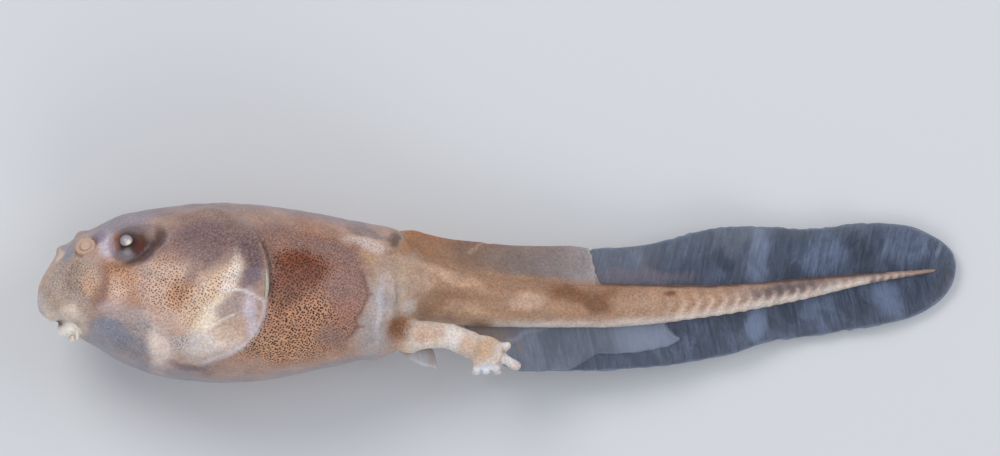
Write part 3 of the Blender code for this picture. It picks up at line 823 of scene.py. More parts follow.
def lipLine(name, count=13, share=1.0):
    # bows from one corner of the mouth to the other as half a cosine wave; share is how much of it is wanted
    side = np.linspace(-share, share, count)
    corner, middle = np.array(lips[name][0]), np.array(lips[name][1])
    place = corner + (middle - corner) * np.cos(math.pi / 2 * side)[:, None]
    return np.concatenate([place, lips["half"] * side[:, None]], axis=1)


def lipChains():
    return [(lipLine(name), (lips[name][2],) * 2, 50) for name in ("upper", "lower")]


def lipRings(name, sides=20, ends=0.6, share=1.0):
    # a tube along a lip, thinner at the corners of the mouth
    thick = lips[name][2]
    return tubeRings(lipLine(name, 13, share), (ends * thick, thick, thick, thick, ends * thick), 70, sides)


def relax(points, edges, weight, rounds):
    # each point moves by its weight towards the mean of its neighbours
    count = np.bincount(edges.ravel(), minlength=len(points))[:, None]
    for _ in range(rounds):
        total = np.stack([
            np.bincount(edges[:, 0], points[edges[:, 1], axis], len(points))
            + np.bincount(edges[:, 1], points[edges[:, 0], axis], len(points))
            for axis in range(3)
        ], axis=-1)
        points = points + weight[:, None] * (total / count - points)
    return points


def roundToSection(points, share):
    # slides points of the flesh out or in along their section until they lie on it
    x, y, z = points.T
    level, reach = levelAndReach(x, y)
    power = fleshShape["roundness"]
    size = (np.abs(z) / halfWidth(x)) ** power + (np.abs(y - level) / np.maximum(reach, 0.01)) ** power
    scale = 1 + share * (np.clip(size, 0.3, 3) ** (-1 / power) - 1)
    return np.stack([x, level + (y - level) * scale, z * scale], axis=-1)


def fleshRings():
    # each section is a superellipse, as high as the back above the widest level and as the belly below it
    x = np.linspace(0.03, math.sqrt(fleshShape["end"]), 420) ** 2
    angle = np.linspace(0, 2 * math.pi, 120, endpoint=False)
    x, angle = x[:, None], angle[None, :]
    power = 2 / fleshShape["roundness"]
    across, up, level = np.cos(angle), np.sin(angle), widestLevel(x)
    reach = np.where(up > 0, back(x) - level, level - belly(x))
    z = halfWidth(x) * np.sign(across) * np.abs(across) ** power
    y = level + reach * np.sign(up) * np.abs(up) ** power
    return np.stack([x + 0 * z, y, z], axis=-1)


def makeSkinShape():
    # flesh, legs and lips become one even surface, smoothed where they meet and slid back onto the section
    # elsewhere; then the broad and the fine forms push it out along its normals
    solids = [closedGrid(fleshRings()), *legParts(1), *legParts(-1)]
    solids += [closedGrid(lipRings(name)) for name in ("upper", "lower")]
    start = addObject("skinStart", buildMesh("skinStart", *joinSolids(solids)))
    remesh = start.modifiers.new("remesh", "REMESH")
    remesh.mode = "VOXEL"
    remesh.voxel_size = fleshShape["voxel"] * 1
    mesh = bpy.data.meshes.new_from_object(start.evaluated_get(bpy.context.evaluated_depsgraph_get()))
    bpy.data.objects.remove(start)
    points = readVectors(mesh, "co")
    edges = np.empty(len(mesh.edges) * 2, np.int32)
    mesh.edges.foreach_get("vertices", edges)
    edges = edges.reshape(-1, 2)
    legGap = legDistance(points)
    away = smoothStep(0.06, 0.2, legGap) * smoothStep(0.02, 0.12, linesDistance(points, lipChains()))
    onSection = away * between(points[:, 0], *spans["flesh"])
    points = relax(points, edges, np.full(len(points), 0.5), 2)
    points = roundToSection(points, onSection)
    crease = (1 - away) * (1 - smoothStep(*spans["legCrease"], points[:, 0]))
    points = relax(points, edges, 0.5 * crease, 10)
    for form in (lambda p: broadForm(*p.T) * onSection, lambda p: fineRelief(p, legGap)):
        writePoints(mesh, points)
        points = points + form(points)[:, None] * readVectors(mesh, "normal")
        points = relax(points, edges, np.full(len(points), 0.25), 1)
    return mesh, points, legGap


# Colours of the skin

skinColours = {
    "trunk": (178, 148, 132),
    "tail": (166, 130, 104),
    "leg": (212, 197, 184),
    "spot": (64, 38, 28),
    "stipple": (92, 56, 38),
    "fleck": (222, 204, 198),
    "upperLip": (206, 190, 176),
    "lowerLip": (246, 240, 230),
    "gape": (58, 34, 28),
    "nostrilMound": (196, 156, 126),
    # the rims: the clear skin's own tone, partly a painted sheen along the outline
    "bellyRim": (129, 139, 156),
    "backRim": (142, 132, 142),
    "muscleLobe": (238, 218, 202),
}

strengths = {  # how much each covers what lies under it
    "bellyRim": 0.75, "backRim": 0.65, "muscleLobe": 0.5, "lips": 0.85, "gape": 0.92, "nostrilMound": 0.6,
}

wander = {  # height, size and seed of what bends the edges of the colours
    "along": ((0.14, 0.8, 11), (0.07, 0.3, 12), (0.03, 0.11, 15)),
    "up": ((0.14, 0.8, 13), (0.07, 0.3, 14), (0.03, 0.11, 16)),
    "gutEdge": ((0.05, 0.3, 21), (0.03, 0.1, 22)),
    "rims": ((0.1, 0.55, 41), (0.04, 0.18, 43)),
    "strokes": ((0.02, 0.25, 31),),
}

# Soft ovals in the side plane, laid over each other in this order. Each has its middle, reach, turn in
# degrees, colour, strength, and how much it is dotted and stippled with pigment
patches = {
    "snout": ((0.5, 0.1), (0.75, 1.05), 0, (187, 169, 158), 0.95, 0.62, 0.35),
    "snoutFront": ((0.2, 0.4), (0.14, 0.6), -25, (190, 154, 128), 0.6, 0.3, 0.4),
    "snoutLow": ((0.22, -0.25), (0.2, 0.2), 0, (204, 196, 194), 0.75, 0.1, 0.1),
    "snoutWarm": ((0.45, -0.2), (0.3, 0.25), 0, (198, 176, 152), 0.5, 0.4, 0.3),
    "lipSkin": ((0.72, -0.42), (0.22, 0.28), -30, (226, 208, 190), 0.85, 0.0, 0.0),
    "throat": ((0.95, -0.62), (0.18, 0.34), -10, (210, 190, 172), 0.7, 0.0, 0.0),
    "snoutDots": ((0.92, 0.45), (0.45, 0.42), 0, (168, 148, 134), 0.8, 0.9, 0.3),
    "farNostril": ((0.62, 0.96), (0.14, 0.24), -35, (140, 144, 160), 0.8, 0.0, 0.1),
    "farNostrilRim": ((0.46, 1.0), (0.06, 0.18), -30, (214, 194, 172), 0.85, 0.0, 0.0),
    "forehead": ((1.75, 1.62), (1.25, 0.26), 20, (148, 141, 152), 0.85, 0.0, 0.4),
    "noseBump": ((1.04, 1.43), (0.22, 0.1), 25, (184, 156, 138), 0.7, 0.0, 0.0),
    "cheekOrange": ((1.9, 0.46), (0.5, 0.34), -5, (200, 148, 112), 0.9, 0.95, 0.35),
    "cheekOrangeEdge": ((2.25, 0.12), (0.16, 0.3), -15, (192, 130, 86), 0.6, 0.9, 0.2),
    "cheekFrontOrange": ((1.17, 0.32), (0.19, 0.3), 12, (206, 168, 142), 0.85, 0.85, 0.1),
    "cheekFrontFold": ((1.43, 0.22), (0.19, 0.52), -14, (128, 90, 80), 0.55, 0.7, 0.3),
    "cheekPink": ((1.76, 0.2), (0.28, 0.24), 10, (222, 186, 164), 0.85, 0.9, 0.0),
    "cheekPinkLow": ((1.56, -0.12), (0.3, 0.2), 25, (202, 178, 176), 0.7, 0.35, 0.15),
    "cheekFold": ((2.36, 0.2), (0.15, 0.55), 4, (172, 142, 138), 0.65, 0.5, 0.3),
    "cheek": ((2.98, 0.36), (0.82, 0.86), 0, (205, 173, 154), 0.95, 1.05, 0.1),
    "cheekTop": ((3.02, 0.98), (0.5, 0.3), 10, (172, 128, 104), 0.6, 0.9, 0.5),
    "cheekWarm": ((3.28, 0.12), (0.34, 0.36), 0, (198, 146, 106), 0.7, 1.15, 0.15),
    "cheekLow": ((3.05, -0.5), (0.6, 0.3), 0, (208, 180, 166), 0.7, 0.6, 0.2),
    "jawMottle": ((2.1, -0.52), (0.75, 0.32), -18, (184, 172, 172), 0.7, 0.25, 0.5),
    "jawBlue": ((1.62, -0.8), (0.52, 0.26), -30, (122, 140, 164), 0.7, 0.0, 0.5),
    "jawBlueRear": ((2.15, -1.14), (0.46, 0.26), -28, (138, 147, 164), 0.65, 0.0, 0.5),
    "jawGrey": ((2.45, -0.86), (0.4, 0.22), -10, (176, 168, 168), 0.6, 0.1, 0.75),
    "jawPeach": ((2.74, -1.16), (0.32, 0.46), 0, (242, 224, 212), 0.75, 0.0, 0.0),
    "chinGrey": ((1.45, -1.05), (0.5, 0.16), -32, (146, 150, 162), 0.7, 0.0, 0.3),
    "shoulder": ((4.0, 1.3), (1.3, 0.62), 0, (120, 97, 100), 0.85, 0.25, 0.78),
    "shoulderTop": ((3.7, 1.88), (1.2, 0.18), 2, (152, 126, 114), 0.7, 0.0, 0.6),
    "diagBand": ((3.62, 0.72), (0.12, 0.52), -28, (136, 104, 98), 0.6, 0.5, 0.8),
    "gillCream": ((3.98, 0.1), (0.42, 1.08), -36, (224, 194, 168), 0.95, 0.95, 0.0),
    "gillSnow": ((4.38, 0.55), (0.16, 0.5), -8, (238, 222, 210), 0.8, 0.75, 0.0),
    "gillWhite": ((4.02, -0.35), (0.26, 0.62), -40, (248, 232, 210), 0.85, 0.35, 0.0),
    "gillPale": ((3.9, -1.0), (0.8, 0.4), 12, (230, 216, 206), 0.9, 0.05, 0.1),
    "jawDots": ((3.2, -1.02), (0.26, 0.22), 20, (206, 194, 190), 0.75, 1.1, 0.0),
    "gillInner": ((4.5, -0.2), (0.4, 0.3), 25, (175, 156, 152), 0.85, 0.0, 0.4),
    "gillTan": ((4.46, -0.7), (0.4, 0.28), 35, (206, 178, 156), 0.75, 0.0, 0.3),
    "gillLilac": ((4.92, -0.38), (0.15, 0.55), 8, (206, 196, 204), 0.75, 0.0, 0.2),
    # painted shadow inside the gill chamber, above its opening
    "chamberShadow": ((4.82, 1.02), (0.3, 0.42), 10, (100, 82, 88), 0.85, 0.1, 0.75),
    "chamberLilac": ((4.8, 0.48), (0.28, 0.38), 0, (118, 105, 118), 0.85, 0.1, 0.6),
    # painted shade in the top of the gill slit
    "slitTopShade": ((5.32, 1.06), (0.14, 0.34), 12, (96, 72, 66), 0.7, 0.2, 0.7),
    "throatCrease": ((3.45, -1.6), (0.6, 0.12), -10, (112, 98, 108), 0.7, 0.0, 0.6),
    "backPurple": ((5.95, 1.2), (1.15, 0.46), -8, (126, 102, 100), 0.85, 0.2, 0.78),
    "backWarm": ((6.35, 1.56), (0.62, 0.22), -14, (172, 136, 118), 0.75, 0.1, 0.6),
    "backPale": ((7.45, 1.22), (0.52, 0.18), -14, (226, 206, 198), 0.9, 0.45, 0.4),
    "backEdge": ((7.6, 1.5), (0.55, 0.1), -13, (126, 115, 118), 0.7, 0.0, 0.4),
    "rump": ((8.2, 0.45), (0.75, 0.85), 0, (188, 160, 138), 0.9, 0.0, 0.35),
    "border": ((7.7, -0.5), (0.46, 1.0), -10, (178, 167, 164), 0.9, 0.0, 0.15),
    # painted highlight: a pale band down the border fold
    "borderFoldHighlight": ((7.76, -0.3), (0.1, 0.7), -4, (204, 199, 202), 0.6, 0.0, 0.0),
    "borderBeige": ((8.1, -0.1), (0.1, 0.7), -6, (196, 174, 154), 0.6, 0.0, 0.1),
    "rumpYellow": ((7.36, 0.88), (0.28, 0.22), 0, (196, 164, 124), 0.65, 0.1, 0.4),
    "darkSpot": ((8.12, 1.4), (0.13, 0.21), 0, (96, 74, 62), 0.8, 0.2, 0.6),
    "darkSpotLow": ((8.02, 1.08), (0.16, 0.08), 10, (160, 126, 98), 0.6, 0.7, 0.3),
    "rumpOrange": ((8.42, 1.22), (0.2, 0.32), -50, (176, 126, 90), 0.85, 0.0, 0.45),
    "knobWhite": ((8.36, -0.14), (0.15, 0.22), 0, (210, 200, 194), 0.65, 0.0, 0.1),
    "hipBrown": ((8.36, -0.72), (0.4, 0.35), 0, (137, 90, 54), 0.9, 0.5, 0.7),
    "hipDots": ((8.42, -0.78), (0.16, 0.14), 0, (112, 82, 60), 0.5, 1.0, 0.6),
    "tailTop": ((9.3, 0.46), (0.9, 0.18), -18, (210, 172, 144), 0.8, 0.0, 0.6),
    "tailShade": ((9.2, -0.02), (0.85, 0.2), -2, (150, 114, 88), 0.75, 0.0, 0.4),
    "tailLow": ((10.6, -0.35), (1.6, 0.22), 0, (176, 142, 114), 0.6, 0.0, 0.5),
    "tailUnder": ((9.5, -0.42), (1.0, 0.2), -4, (206, 172, 142), 0.8, 0.0, 0.3),
    "tailLight": ((11.1, -0.05), (0.5, 0.22), 0, (208, 176, 154), 0.75, 0.0, 0.4),
    "tailRear": ((14.6, -0.1), (1.8, 0.6), 6, (181, 146, 120), 0.9, 0.0, 0.55),
    "tailEnd": ((18.2, 0.36), (2.6, 0.5), 9, (160, 142, 134), 0.9, 0.0, 0.45),
    "tailPatch": ((12.15, 0.02), (0.55, 0.2), -16, (126, 86, 58), 0.85, 0.0, 0.95),
    "tailPatchRear": ((12.72, -0.1), (0.34, 0.3), 10, (122, 82, 54), 0.85, 0.0, 0.95),
    "tailPatchTop": ((12.98, 0.14), (0.2, 0.14), 35, (132, 90, 60), 0.6, 0.0, 0.5),
    "tailSpot": ((14.3, 0.01), (0.12, 0.06), 0, (120, 78, 50), 0.8, 0.0, 0.4),
    "tailGrey": ((16.98, 0.15), (0.9, 0.2), 8, (92, 80, 80), 0.85, 0.0, 0.4),
}

gutPatches = {  # the dotted brown skin over the gut, held between the gill edge and its own ragged rear edge
    "gut": ((6.1, -0.05), (1.6, 1.6), 0, (184, 134, 106), 0.95, 1.35, 0.4),
    "gutTop": ((6.4, 0.98), (0.95, 0.3), -10, (148, 118, 110), 0.8, 0.5, 0.75),
    "gutDarkRed": ((5.92, 0.58), (0.74, 0.44), -6, (132, 66, 36), 0.92, 1.6, 0.4),
    "gutDark": ((5.72, 0.1), (0.56, 0.34), 0, (142, 94, 70), 0.75, 1.5, 0.4),
    "gutWarmMiddle": ((6.1, -0.38), (0.62, 0.34), 0, (201, 149, 117), 0.75, 1.5, 0.3),
    "gutWarmLow": ((5.45, -1.08), (1.15, 0.4), 8, (206, 156, 120), 0.85, 1.5, 0.3),
    "gutMauve": ((6.96, 0.2), (0.46, 0.74), 0, (152, 118, 112), 0.8, 0.55, 0.7),
    "gutPink": ((6.9, -0.28), (0.28, 0.22), 0, (182, 128, 112), 0.5, 0.8, 0.5),
    "gutGrey": ((6.7, -0.9), (0.4, 0.24), 10, (150, 126, 120), 0.6, 0.6, 0.7),
}

legPatches = {
    "thigh": ((8.9, -0.76), (0.42, 0.26), 0, (210, 174, 148), 0.75, 0.45, 0.45),
    "thighWhite": ((8.8, -1.06), (0.3, 0.12), 0, (226, 214, 198), 0.7, 0.0, 0.0),
    # a painted sheen: whitish over the rounded knee
    "paintedKneeSheen": ((9.38, -0.92), (0.18, 0.34), -15, (222, 214, 208), 0.8, 0.0, 0.0),
    "shank": ((9.72, -0.98), (0.24, 0.2), 0, (200, 164, 138), 0.6, 0.0, 0.3),
    "palm": ((10.14, -1.18), (0.32, 0.24), -15, (206, 168, 132), 0.75, 0.0, 0.5),
    "toeTips": ((10.1, -1.7), (0.6, 0.17), 3, (206, 212, 222), 0.92, 0.0, 0.0),
    "longToe": ((10.74, -1.5), (0.22, 0.16), -25, (222, 216, 212), 0.7, 0.0, 0.0),
    "smallToe": ((10.62, -1.04), (0.16, 0.14), 0, (232, 228, 226), 0.7, 0.0, 0.0),
    "hip": ((8.32, -1.18), (0.22, 0.14), 0, (224, 205, 178), 0.85, 0.0, 0.0),
}

# Lines of colour: points in the side plane, half width, colour, strength
strokes = {
    "slitShade": (
        ((5.1, 1.22), (5.22, 0.92), (5.27, 0.62), (5.27, 0.32), (5.22, 0.06)), 0.035, (62, 44, 40), 0.85,
    ),
    # a wider, warm band of painted shade along the slit
    "slitShadeWide": (((5.22, 1.1), (5.36, 0.7), (5.38, 0.3)), 0.1, (112, 84, 84), 0.5),
    # a painted highlight on the lit edge beside the top of the slit
    "slitEdgeHighlight": (((5.02, 1.2), (5.13, 0.96), (5.17, 0.8)), 0.03, (178, 146, 120), 0.6),
    "flapEdge": (
        ((5.14, -0.09), (5.095, -0.45), (4.96, -0.77), (4.71, -1.09), (4.28, -1.315), (3.78, -1.47)),
        0.055, (216, 206, 212), 0.75,
    ),
    "eyeShade": (((1.7, 0.74), (2.0, 0.7), (2.28, 0.78), (2.4, 0.88)), 0.06, (104, 72, 62), 0.5),
    "eyeFoldShade": (((2.14, 0.84), (2.38, 0.92), (2.58, 1.08), (2.78, 1.32)), 0.045, (84, 62, 62), 0.55),
    "eyeFold": (
        ((2.24, 0.73), (2.48, 0.82), (2.7, 1.0), (2.9, 1.24), (3.04, 1.5)), 0.032, (166, 148, 148), 0.55,
    ),
    "gillTubeLight": (((4.2, 0.16), (4.52, 0.17), (4.86, 0.08), (5.12, -0.08)), 0.03, (226, 216, 216), 0.8),
    "gillCreaseLight": (((3.95, -0.66), (4.2, -0.5), (4.46, -0.38)), 0.03, (244, 230, 216), 0.6),
    "gillCreaseShade": (((3.85, -0.8), (4.2, -0.61), (4.5, -0.47)), 0.05, (190, 164, 146), 0.5),
    "gutEdge": (
        ((7.3, 0.6), (7.42, 0.36), (7.47, 0.14), (7.46, 0.0), (7.34, -0.32), (7.18, -0.51), (7.25, -0.65),
         (7.08, -0.88)),
        0.045, (112, 72, 70), 0.6,
    ),
    "gutSpur": (((7.2, -0.68), (7.42, -0.66)), 0.02, (112, 74, 66), 0.7),
    "gutSpurTop": (((7.46, 0.06), (7.6, 0.08)), 0.025, (120, 92, 92), 0.6),
    "tailRidge": (((12.8, 0.3), (15.2, 0.24), (17.9, 0.45), (19.2, 0.56)), 0.045, (84, 54, 46), 0.85),
    "tailPaleEdge": (
        ((10.4, -0.66), (12.8, -0.66), (14.0, -0.57), (15.2, -0.41), (17.3, -0.04), (18.7, 0.28)),
        0.12, (236, 221, 208), 0.92,
    ),
}

eyePatches = {
    "crescent": ((1.58, 1.15), (0.2, 0.34), 8, (204, 194, 208), 0.75, 0.0, 0.0),
    "shadeAbove": ((2.22, 1.52), (0.46, 0.12), 6, (122, 110, 120), 0.5, 0.0, 0.2),
    "bed": ((2.12, 1.15), (0.46, 0.39), 12, (56, 30, 26), 0.97, 0.0, 0.0),
    "rearPurple": ((2.52, 1.08), (0.18, 0.24), -10, (70, 46, 52), 0.8, 0.0, 0.0),
    "rearRed": ((2.28, 1.2), (0.15, 0.22), 0, (92, 44, 30), 0.8, 0.0, 0.2),
    "frontPink": ((1.68, 1.14), (0.08, 0.26), 8, (168, 142, 148), 0.85, 0.0, 0.0),
    "frontOrange": ((1.8, 1.26), (0.09, 0.2), 8, (152, 102, 78), 0.85, 0.0, 0.4),
    "belowGrey": ((1.96, 0.92), (0.24, 0.14), 0, (122, 112, 118), 0.85, 0.5, 0.6),
    # painted shade: a dark band along the underside of the eye
    "under": ((2.22, 0.8), (0.34, 0.07), 16, (66, 44, 42), 0.8, 0.0, 0.0),
    "lensRing": ((2.005, 1.265), (0.215, 0.215), 0, (30, 14, 10), 0.95, 0.0, 0.0),
    "behindDark": ((2.76, 1.32), (0.17, 0.27), 10, (76, 50, 46), 0.8, 0.3, 0.6),
    "behindShade": ((2.52, 1.07), (0.28, 0.12), 45, (80, 58, 60), 0.75, 0.0, 0.3),
}

nostrilPatches = {
    "shadeHigh": ((1.28, 1.28), (0.09, 0.12), 0, (104, 62, 44), 0.8, 0.0, 0.0),
    "shadeLow": ((0.9, 0.96), (0.13, 0.06), -30, (130, 92, 74), 0.7, 0.0, 0.0),
    "bump": ((1.06, 1.44), (0.2, 0.08), 20, (184, 152, 136), 0.8, 0.0, 0.0),
    "purpleBehind": ((1.42, 1.36), (0.16, 0.12), 20, (128, 116, 136), 0.7, 0.0, 0.0),
}


def tint(tones, tone, mask):
    return (blend(tones[0], tone, mask), *tones[1:])


def cover(tones, over, mask):
    # colour, dots and stipple move together, by the mask, towards those of what lies over them
    shares = (share + (target - share) * mask for share, target in zip(tones[1:], over[1:]))
    return (blend(tones[0], over[0], mask), *shares)


def paint(points, tones, tables, bend=1.0):
    # covers the tones with the ovals of each table, held by its own mask, with wandering edges
    x = points[:, 0] + bend * waves(points, wander["along"])
    y = points[:, 1] + bend * waves(points, wander["up"])
    for table, hold in tables:
        for middle, reach, turn, tone, strength, dotted, stippled in table.values():
            mask = 1 - smoothStep(0.45, 1.38, ovalDistance(x, y, middle, reach, turn))
            tones = cover(tones, (tone, dotted, stippled), mask * hold * strength)
    return tones


gutArea = {  # spans over which the skin over the gut comes in and goes out
    "gillLeft": (1.01, 1.04),  # of the chamber's ring
    "gillRight": (0.9, 1.1),
    "right": (4.6, 5.4),
    "front": (3.4, 4.4),
    "rear": (-0.02, 0.03),  # about the ragged edge
    "top": 0.45,  # where the ragged edge ends, and a soft leaning one takes its place
    "leaning": (0.0, 0.8),
    "leaningFrom": (6.9, 0.3, 1.6),  # x, lean, and the height at which it passes x
    "belly": (0.06, 0.33),
}


def gutMask(points, x, y, z):
    # behind the gill chamber, before the ragged rear edge of the skin over the gut, and above the belly's rim
    ring, area = gillRound(x, y), gutArea
    behind = np.where(z > 0, smoothStep(*area["gillLeft"], ring), smoothStep(*area["gillRight"], ring))
    behind = np.maximum(behind, smoothStep(*area["right"], x) * (z < 0)) * smoothStep(*area["front"], x)
    line = np.array(folds["skinEdge"][0])
    rear = np.interp(-y, -line[:, 1], line[:, 0]) + waves(points, wander["gutEdge"])
    start, lean, level = area["leaningFrom"]
    upperRear = 1 - smoothStep(*area["leaning"], x - start - lean * (level - y))
    before = np.where(y > area["top"], upperRear, 1 - smoothStep(*area["rear"], x - rear))
    return behind * before * smoothStep(*area["belly"], y - belly(x))


fades = {  # spans over which the colours of rims, muscle, lips and legs come in or go out
    "bellyRim": (0.0, 0.3),
    "backRim": (0.02, 0.2),
    "rimPatches": (0.8, (0.3, 0.6, 44)),  # mean share; height, size and seed of its change
    "rimFlanks": (0.35, (-0.9, 0.3)),  # least share, on the right flank, and the span of z
    "muscleBand": (0.08, 0.1, (0.05, 0.3)),  # contrast, how much more of it at the lower edge, span
    "lobeWave": (-0.3, 0.9),
    "lobeHeight": (0.2, 0.8),  # share of the height of the muscle
    "lips": (0.0, 0.12),
    "lowerLip": (0.5, 0.62),
    "gape": (0.0, 0.05),
    "gapeCorners": (0.6, (0.25, 0.6)),  # how much less dark at the corners, and the span of z
    "thigh": ((-0.02, 0.07), (8.15, 8.55)),  # of the gap to the leg, and of x
    "hipLean": (0.35, 0.9),
    "foot": ((0.0, 0.06), (8.6, 8.8)),
}


def skinTones(points, legGap):
    # colour, share of dots and share of stipple at each point, all read where the camera sees it
    seen = asSeen(points)
    x, y, z = seen.T
    always, onTail = np.ones(len(x)), smoothStep(*spans["tail"], x)
    colour = blend(linear(skinColours["trunk"]), skinColours["tail"], onTail)
    tones = (colour, 0.05 * (1 - onTail), 0.15 + 0.38 * onTail)
    tones = paint(seen, tones, [(patches, always), (gutPatches, gutMask(points, x, y, z))])
    # the clear, milky rims of belly and back: the skin's own bluish tone, with a painted sheen along the
    # outline
    trunk = between(x, *spans["rims"])
    drift = waves(points, wander["rims"])
    low = trunk * (1 - smoothStep(*fades["bellyRim"], y - belly(points[:, 0]) + drift))
    (mean, change), (least, across) = fades["rimPatches"], fades["rimFlanks"]
    low = low * (mean + waves(points, [change])) * (least + (1 - least) * smoothStep(*across, z))
    high = trunk * (1 - smoothStep(*fades["backRim"], back(points[:, 0]) - y + 0.5 * drift))
    for mask, name in ((low, "bellyRim"), (high, "backRim")):
        tones = cover(tones, (skinColours[name], 0, 0), strengths[name] * mask)
    # the bands of the tail muscle, palest at its lower edge
    band, share = myomeres(x, y)
    up = y - belly(x)
    contrast, more, edge = fades["muscleBand"]
    colour = tones[0] * (1 + (contrast + more * (1 - smoothStep(*edge, up))) * band * share)[:, None]
    height = up / (back(x) - belly(x) + 0.01)
    lobes = smoothStep(*fades["lobeWave"], band) * (1 - smoothStep(*fades["lobeHeight"], height))
    tones = tint((colour, *tones[1:]), skinColours["muscleLobe"], strengths["muscleLobe"] * lobes * share)
    # the lips, with dark between them
    pale = 1 - smoothStep(*fades["lips"], linesDistance(points, lipChains()))
    lower = smoothStep(*fades["lowerLip"], -y)
    lipColour = blend(linear(skinColours["upperLip"]), skinColours["lowerLip"], lower)
    tones = cover(tones, (lipColour, 0, 0), strengths["lips"] * pale)
    far = linesDistance(points, [(lipLine("mouth"), (0.05, 0.05), 40)])
    less, corners = fades["gapeCorners"]
    dark = (1 - smoothStep(*fades["gape"], far)) * (1 - less * smoothStep(*corners, np.abs(points[:, 2])))
    tones = tint(tones, skinColours["gape"], strengths["gape"] * dark)
    # eye and nostril, seen through the skin
    facing = smoothStep(-0.6, -0.2, fromAxis(points, eyePlace)[1])
    tones = paint(seen, tones, [(eyePatches, facing)], 0.25)
    far, out = fromAxis(points, nostrilPlace)
    near = bell(far, 0.22) * smoothStep(-0.4, -0.15, out)
    colour, spots, stipple = tint(tones, skinColours["nostrilMound"], strengths["nostrilMound"] * near)
    tones = paint(seen, (colour, spots * (1 - near), stipple * (1 - near)), [(nostrilPatches, facing)], 0.25)
    wobble = waves(points, wander["strokes"])
    for line, width, tone, strength in strokes.values():
        far = lineDistance(x + wobble, y + wobble, line)[0]
        mask = strength * bell(far, width) * smoothStep(0.0, 0.5, np.abs(z) + 0.3 * (x > 9))
        colour, spots, stipple = tint(tones, tone, mask)
        tones = (colour, spots, stipple * (1 - 0.7 * mask))
    # the limbs
    (gap, begin), (lean, level) = fades["thigh"], fades["hipLean"]
    onLeg = (1 - smoothStep(*gap, legGap)) * smoothStep(*begin, x - lean * (y + level))
    gap, begin = fades["foot"]
    onLeg = np.maximum(onLeg, (1 - smoothStep(*gap, legGap)) * smoothStep(*begin, x))
    legTones = (linear(skinColours["leg"]) + 0 * tones[0], 0 * x, 0.1 + 0 * x)
    legTones = paint(asSeen(nearSide(points)), legTones, [(legPatches, always)])
    colour, spots, stipple = cover(tones, legTones, onLeg)
    return np.clip(colour, 0.004, 1), spots, stipple * (1 - 0.35 * onTail)


def writeTones(mesh, points, tones):
    for name, values in zip(("skinColour", "spots", "stipple"), tones):
        setAttribute(mesh, name, values)
    # distance along the animal and up or down from the widest line of its flank, which the dots follow
    x, y, z = points.T
    table = np.linspace(0, 21, 2000)
    walked = lengthAlong(np.column_stack([table, halfWidth(table)]))
    (level, reach), wide = levelAndReach(x, y), halfWidth(x)
    turn = np.arctan2((y - level) / np.maximum(reach, 0.05), np.abs(z) / np.maximum(wide, 0.05))
    setFlow(mesh, np.interp(x, table, walked), turn * (reach + wide) / 2)


skinFinish = {
    "spotSpacing": 0.066,
    "spotSize": 0.25,
    "spotSoftness": 0.1,
    "spotStrength": 0.9,
    "stippleSize": 0.044,
    "stippleEdge": (0.45, 0.64, 0.0, 0.76),  # of the pattern: start, end, and the shares of colour there
    "fleckEdge": (0.44, 0.28, 0.0, 0.34),
    "flecked": (0.55, 0.8),  # shares of stipple between which pale flecks come in
    "cloud": 0.14,
    "fine": 0.2,
    "warmthSize": 0.3,
    "cool": (0.96, 1.0, 1.045),
    "warm": (1.04, 0.995, 0.945),
    "roughness": (0.36, 0.54),
    "bump": 0.35,
    "bumpDepth": 0.012,
    "sockets": {
        "Subsurface Weight": 0.18,
        "Subsurface Radius": (1.0, 0.45, 0.28),
        "Subsurface Scale": 0.00035,
        "Coat Weight": 0.1,
        "Coat Roughness": 0.25,
        "Specular IOR Level": 0.28,
    },
}


def makeSkinMaterial():
    # the painted colour made cloudy, cooler and warmer, then stipple, pale flecks and round dots over it
    look = skinFinish
    material, tree, shader = newMaterial("wetSkin")
    place = objectInMillimetres(tree)
    grain = addNode(tree, "ShaderNodeGroup", {"Vector": place}, node_tree=grainGroup).outputs
    cloud = mapRange(tree, grain["Cloud"], 0.3, 0.7, 1 - look["cloud"], 1 + look["cloud"])
    fine = mapRange(tree, grain["Fine"], 0.3, 0.7, 1 - look["fine"], 1 + look["fine"])
    warmth = mapRange(tree, noiseNode(tree, place, 1 / look["warmthSize"], 5.0, 0.7)[0], 0.35, 0.65)
    hue = mixColours(tree, warmth, look["cool"], look["warm"])
    colour = mixColours(tree, 1.0, attribute(tree, "skinColour", "Color"), hue, "MULTIPLY")
    colour = scaled(tree, colour, mathNode(tree, "MULTIPLY", cloud, fine))
    pattern, share = noiseNode(tree, place, 1 / look["stippleSize"], 2.0, 0.6)[0], attribute(tree, "stipple")
    stipple = mathNode(tree, "MULTIPLY", mapRange(tree, pattern, *look["stippleEdge"], "SMOOTHSTEP"), share)
    fleck = mapRange(tree, pattern, *look["fleckEdge"], "SMOOTHSTEP")
    fleck = mathNode(tree, "MULTIPLY", fleck, mapRange(tree, share, *look["flecked"]))
    spots = addNode(
        tree, "ShaderNodeGroup",
        {"Vector": attribute(tree, "flow", "Vector"), "Amount": attribute(tree, "spots"),
         "Spacing": look["spotSpacing"], "Size": look["spotSize"], "Softness": look["spotSoftness"]},
        node_tree=spotGroup,
    )
    spots = mathNode(tree, "MULTIPLY", spots.outputs[0], look["spotStrength"])
    for mask, name in ((stipple, "stipple"), (fleck, "fleck"), (spots, "spot")):
        colour = mixColours(tree, mask, colour, tuple(linear(skinColours[name])))
    tree.links.new(colour, shader.inputs["Base Color"])
    rough = mapRange(tree, grain["Fine"], 0.3, 0.7, *look["roughness"])
    tree.links.new(rough, shader.inputs["Roughness"])
    values = {"Strength": look["bump"], "Distance": look["bumpDepth"] * mm, "Height": grain["Height"]}
    tree.links.new(addNode(tree, "ShaderNodeBump", values).outputs[0], shader.inputs["Normal"])
    setSockets(shader, look["sockets"])
    return material


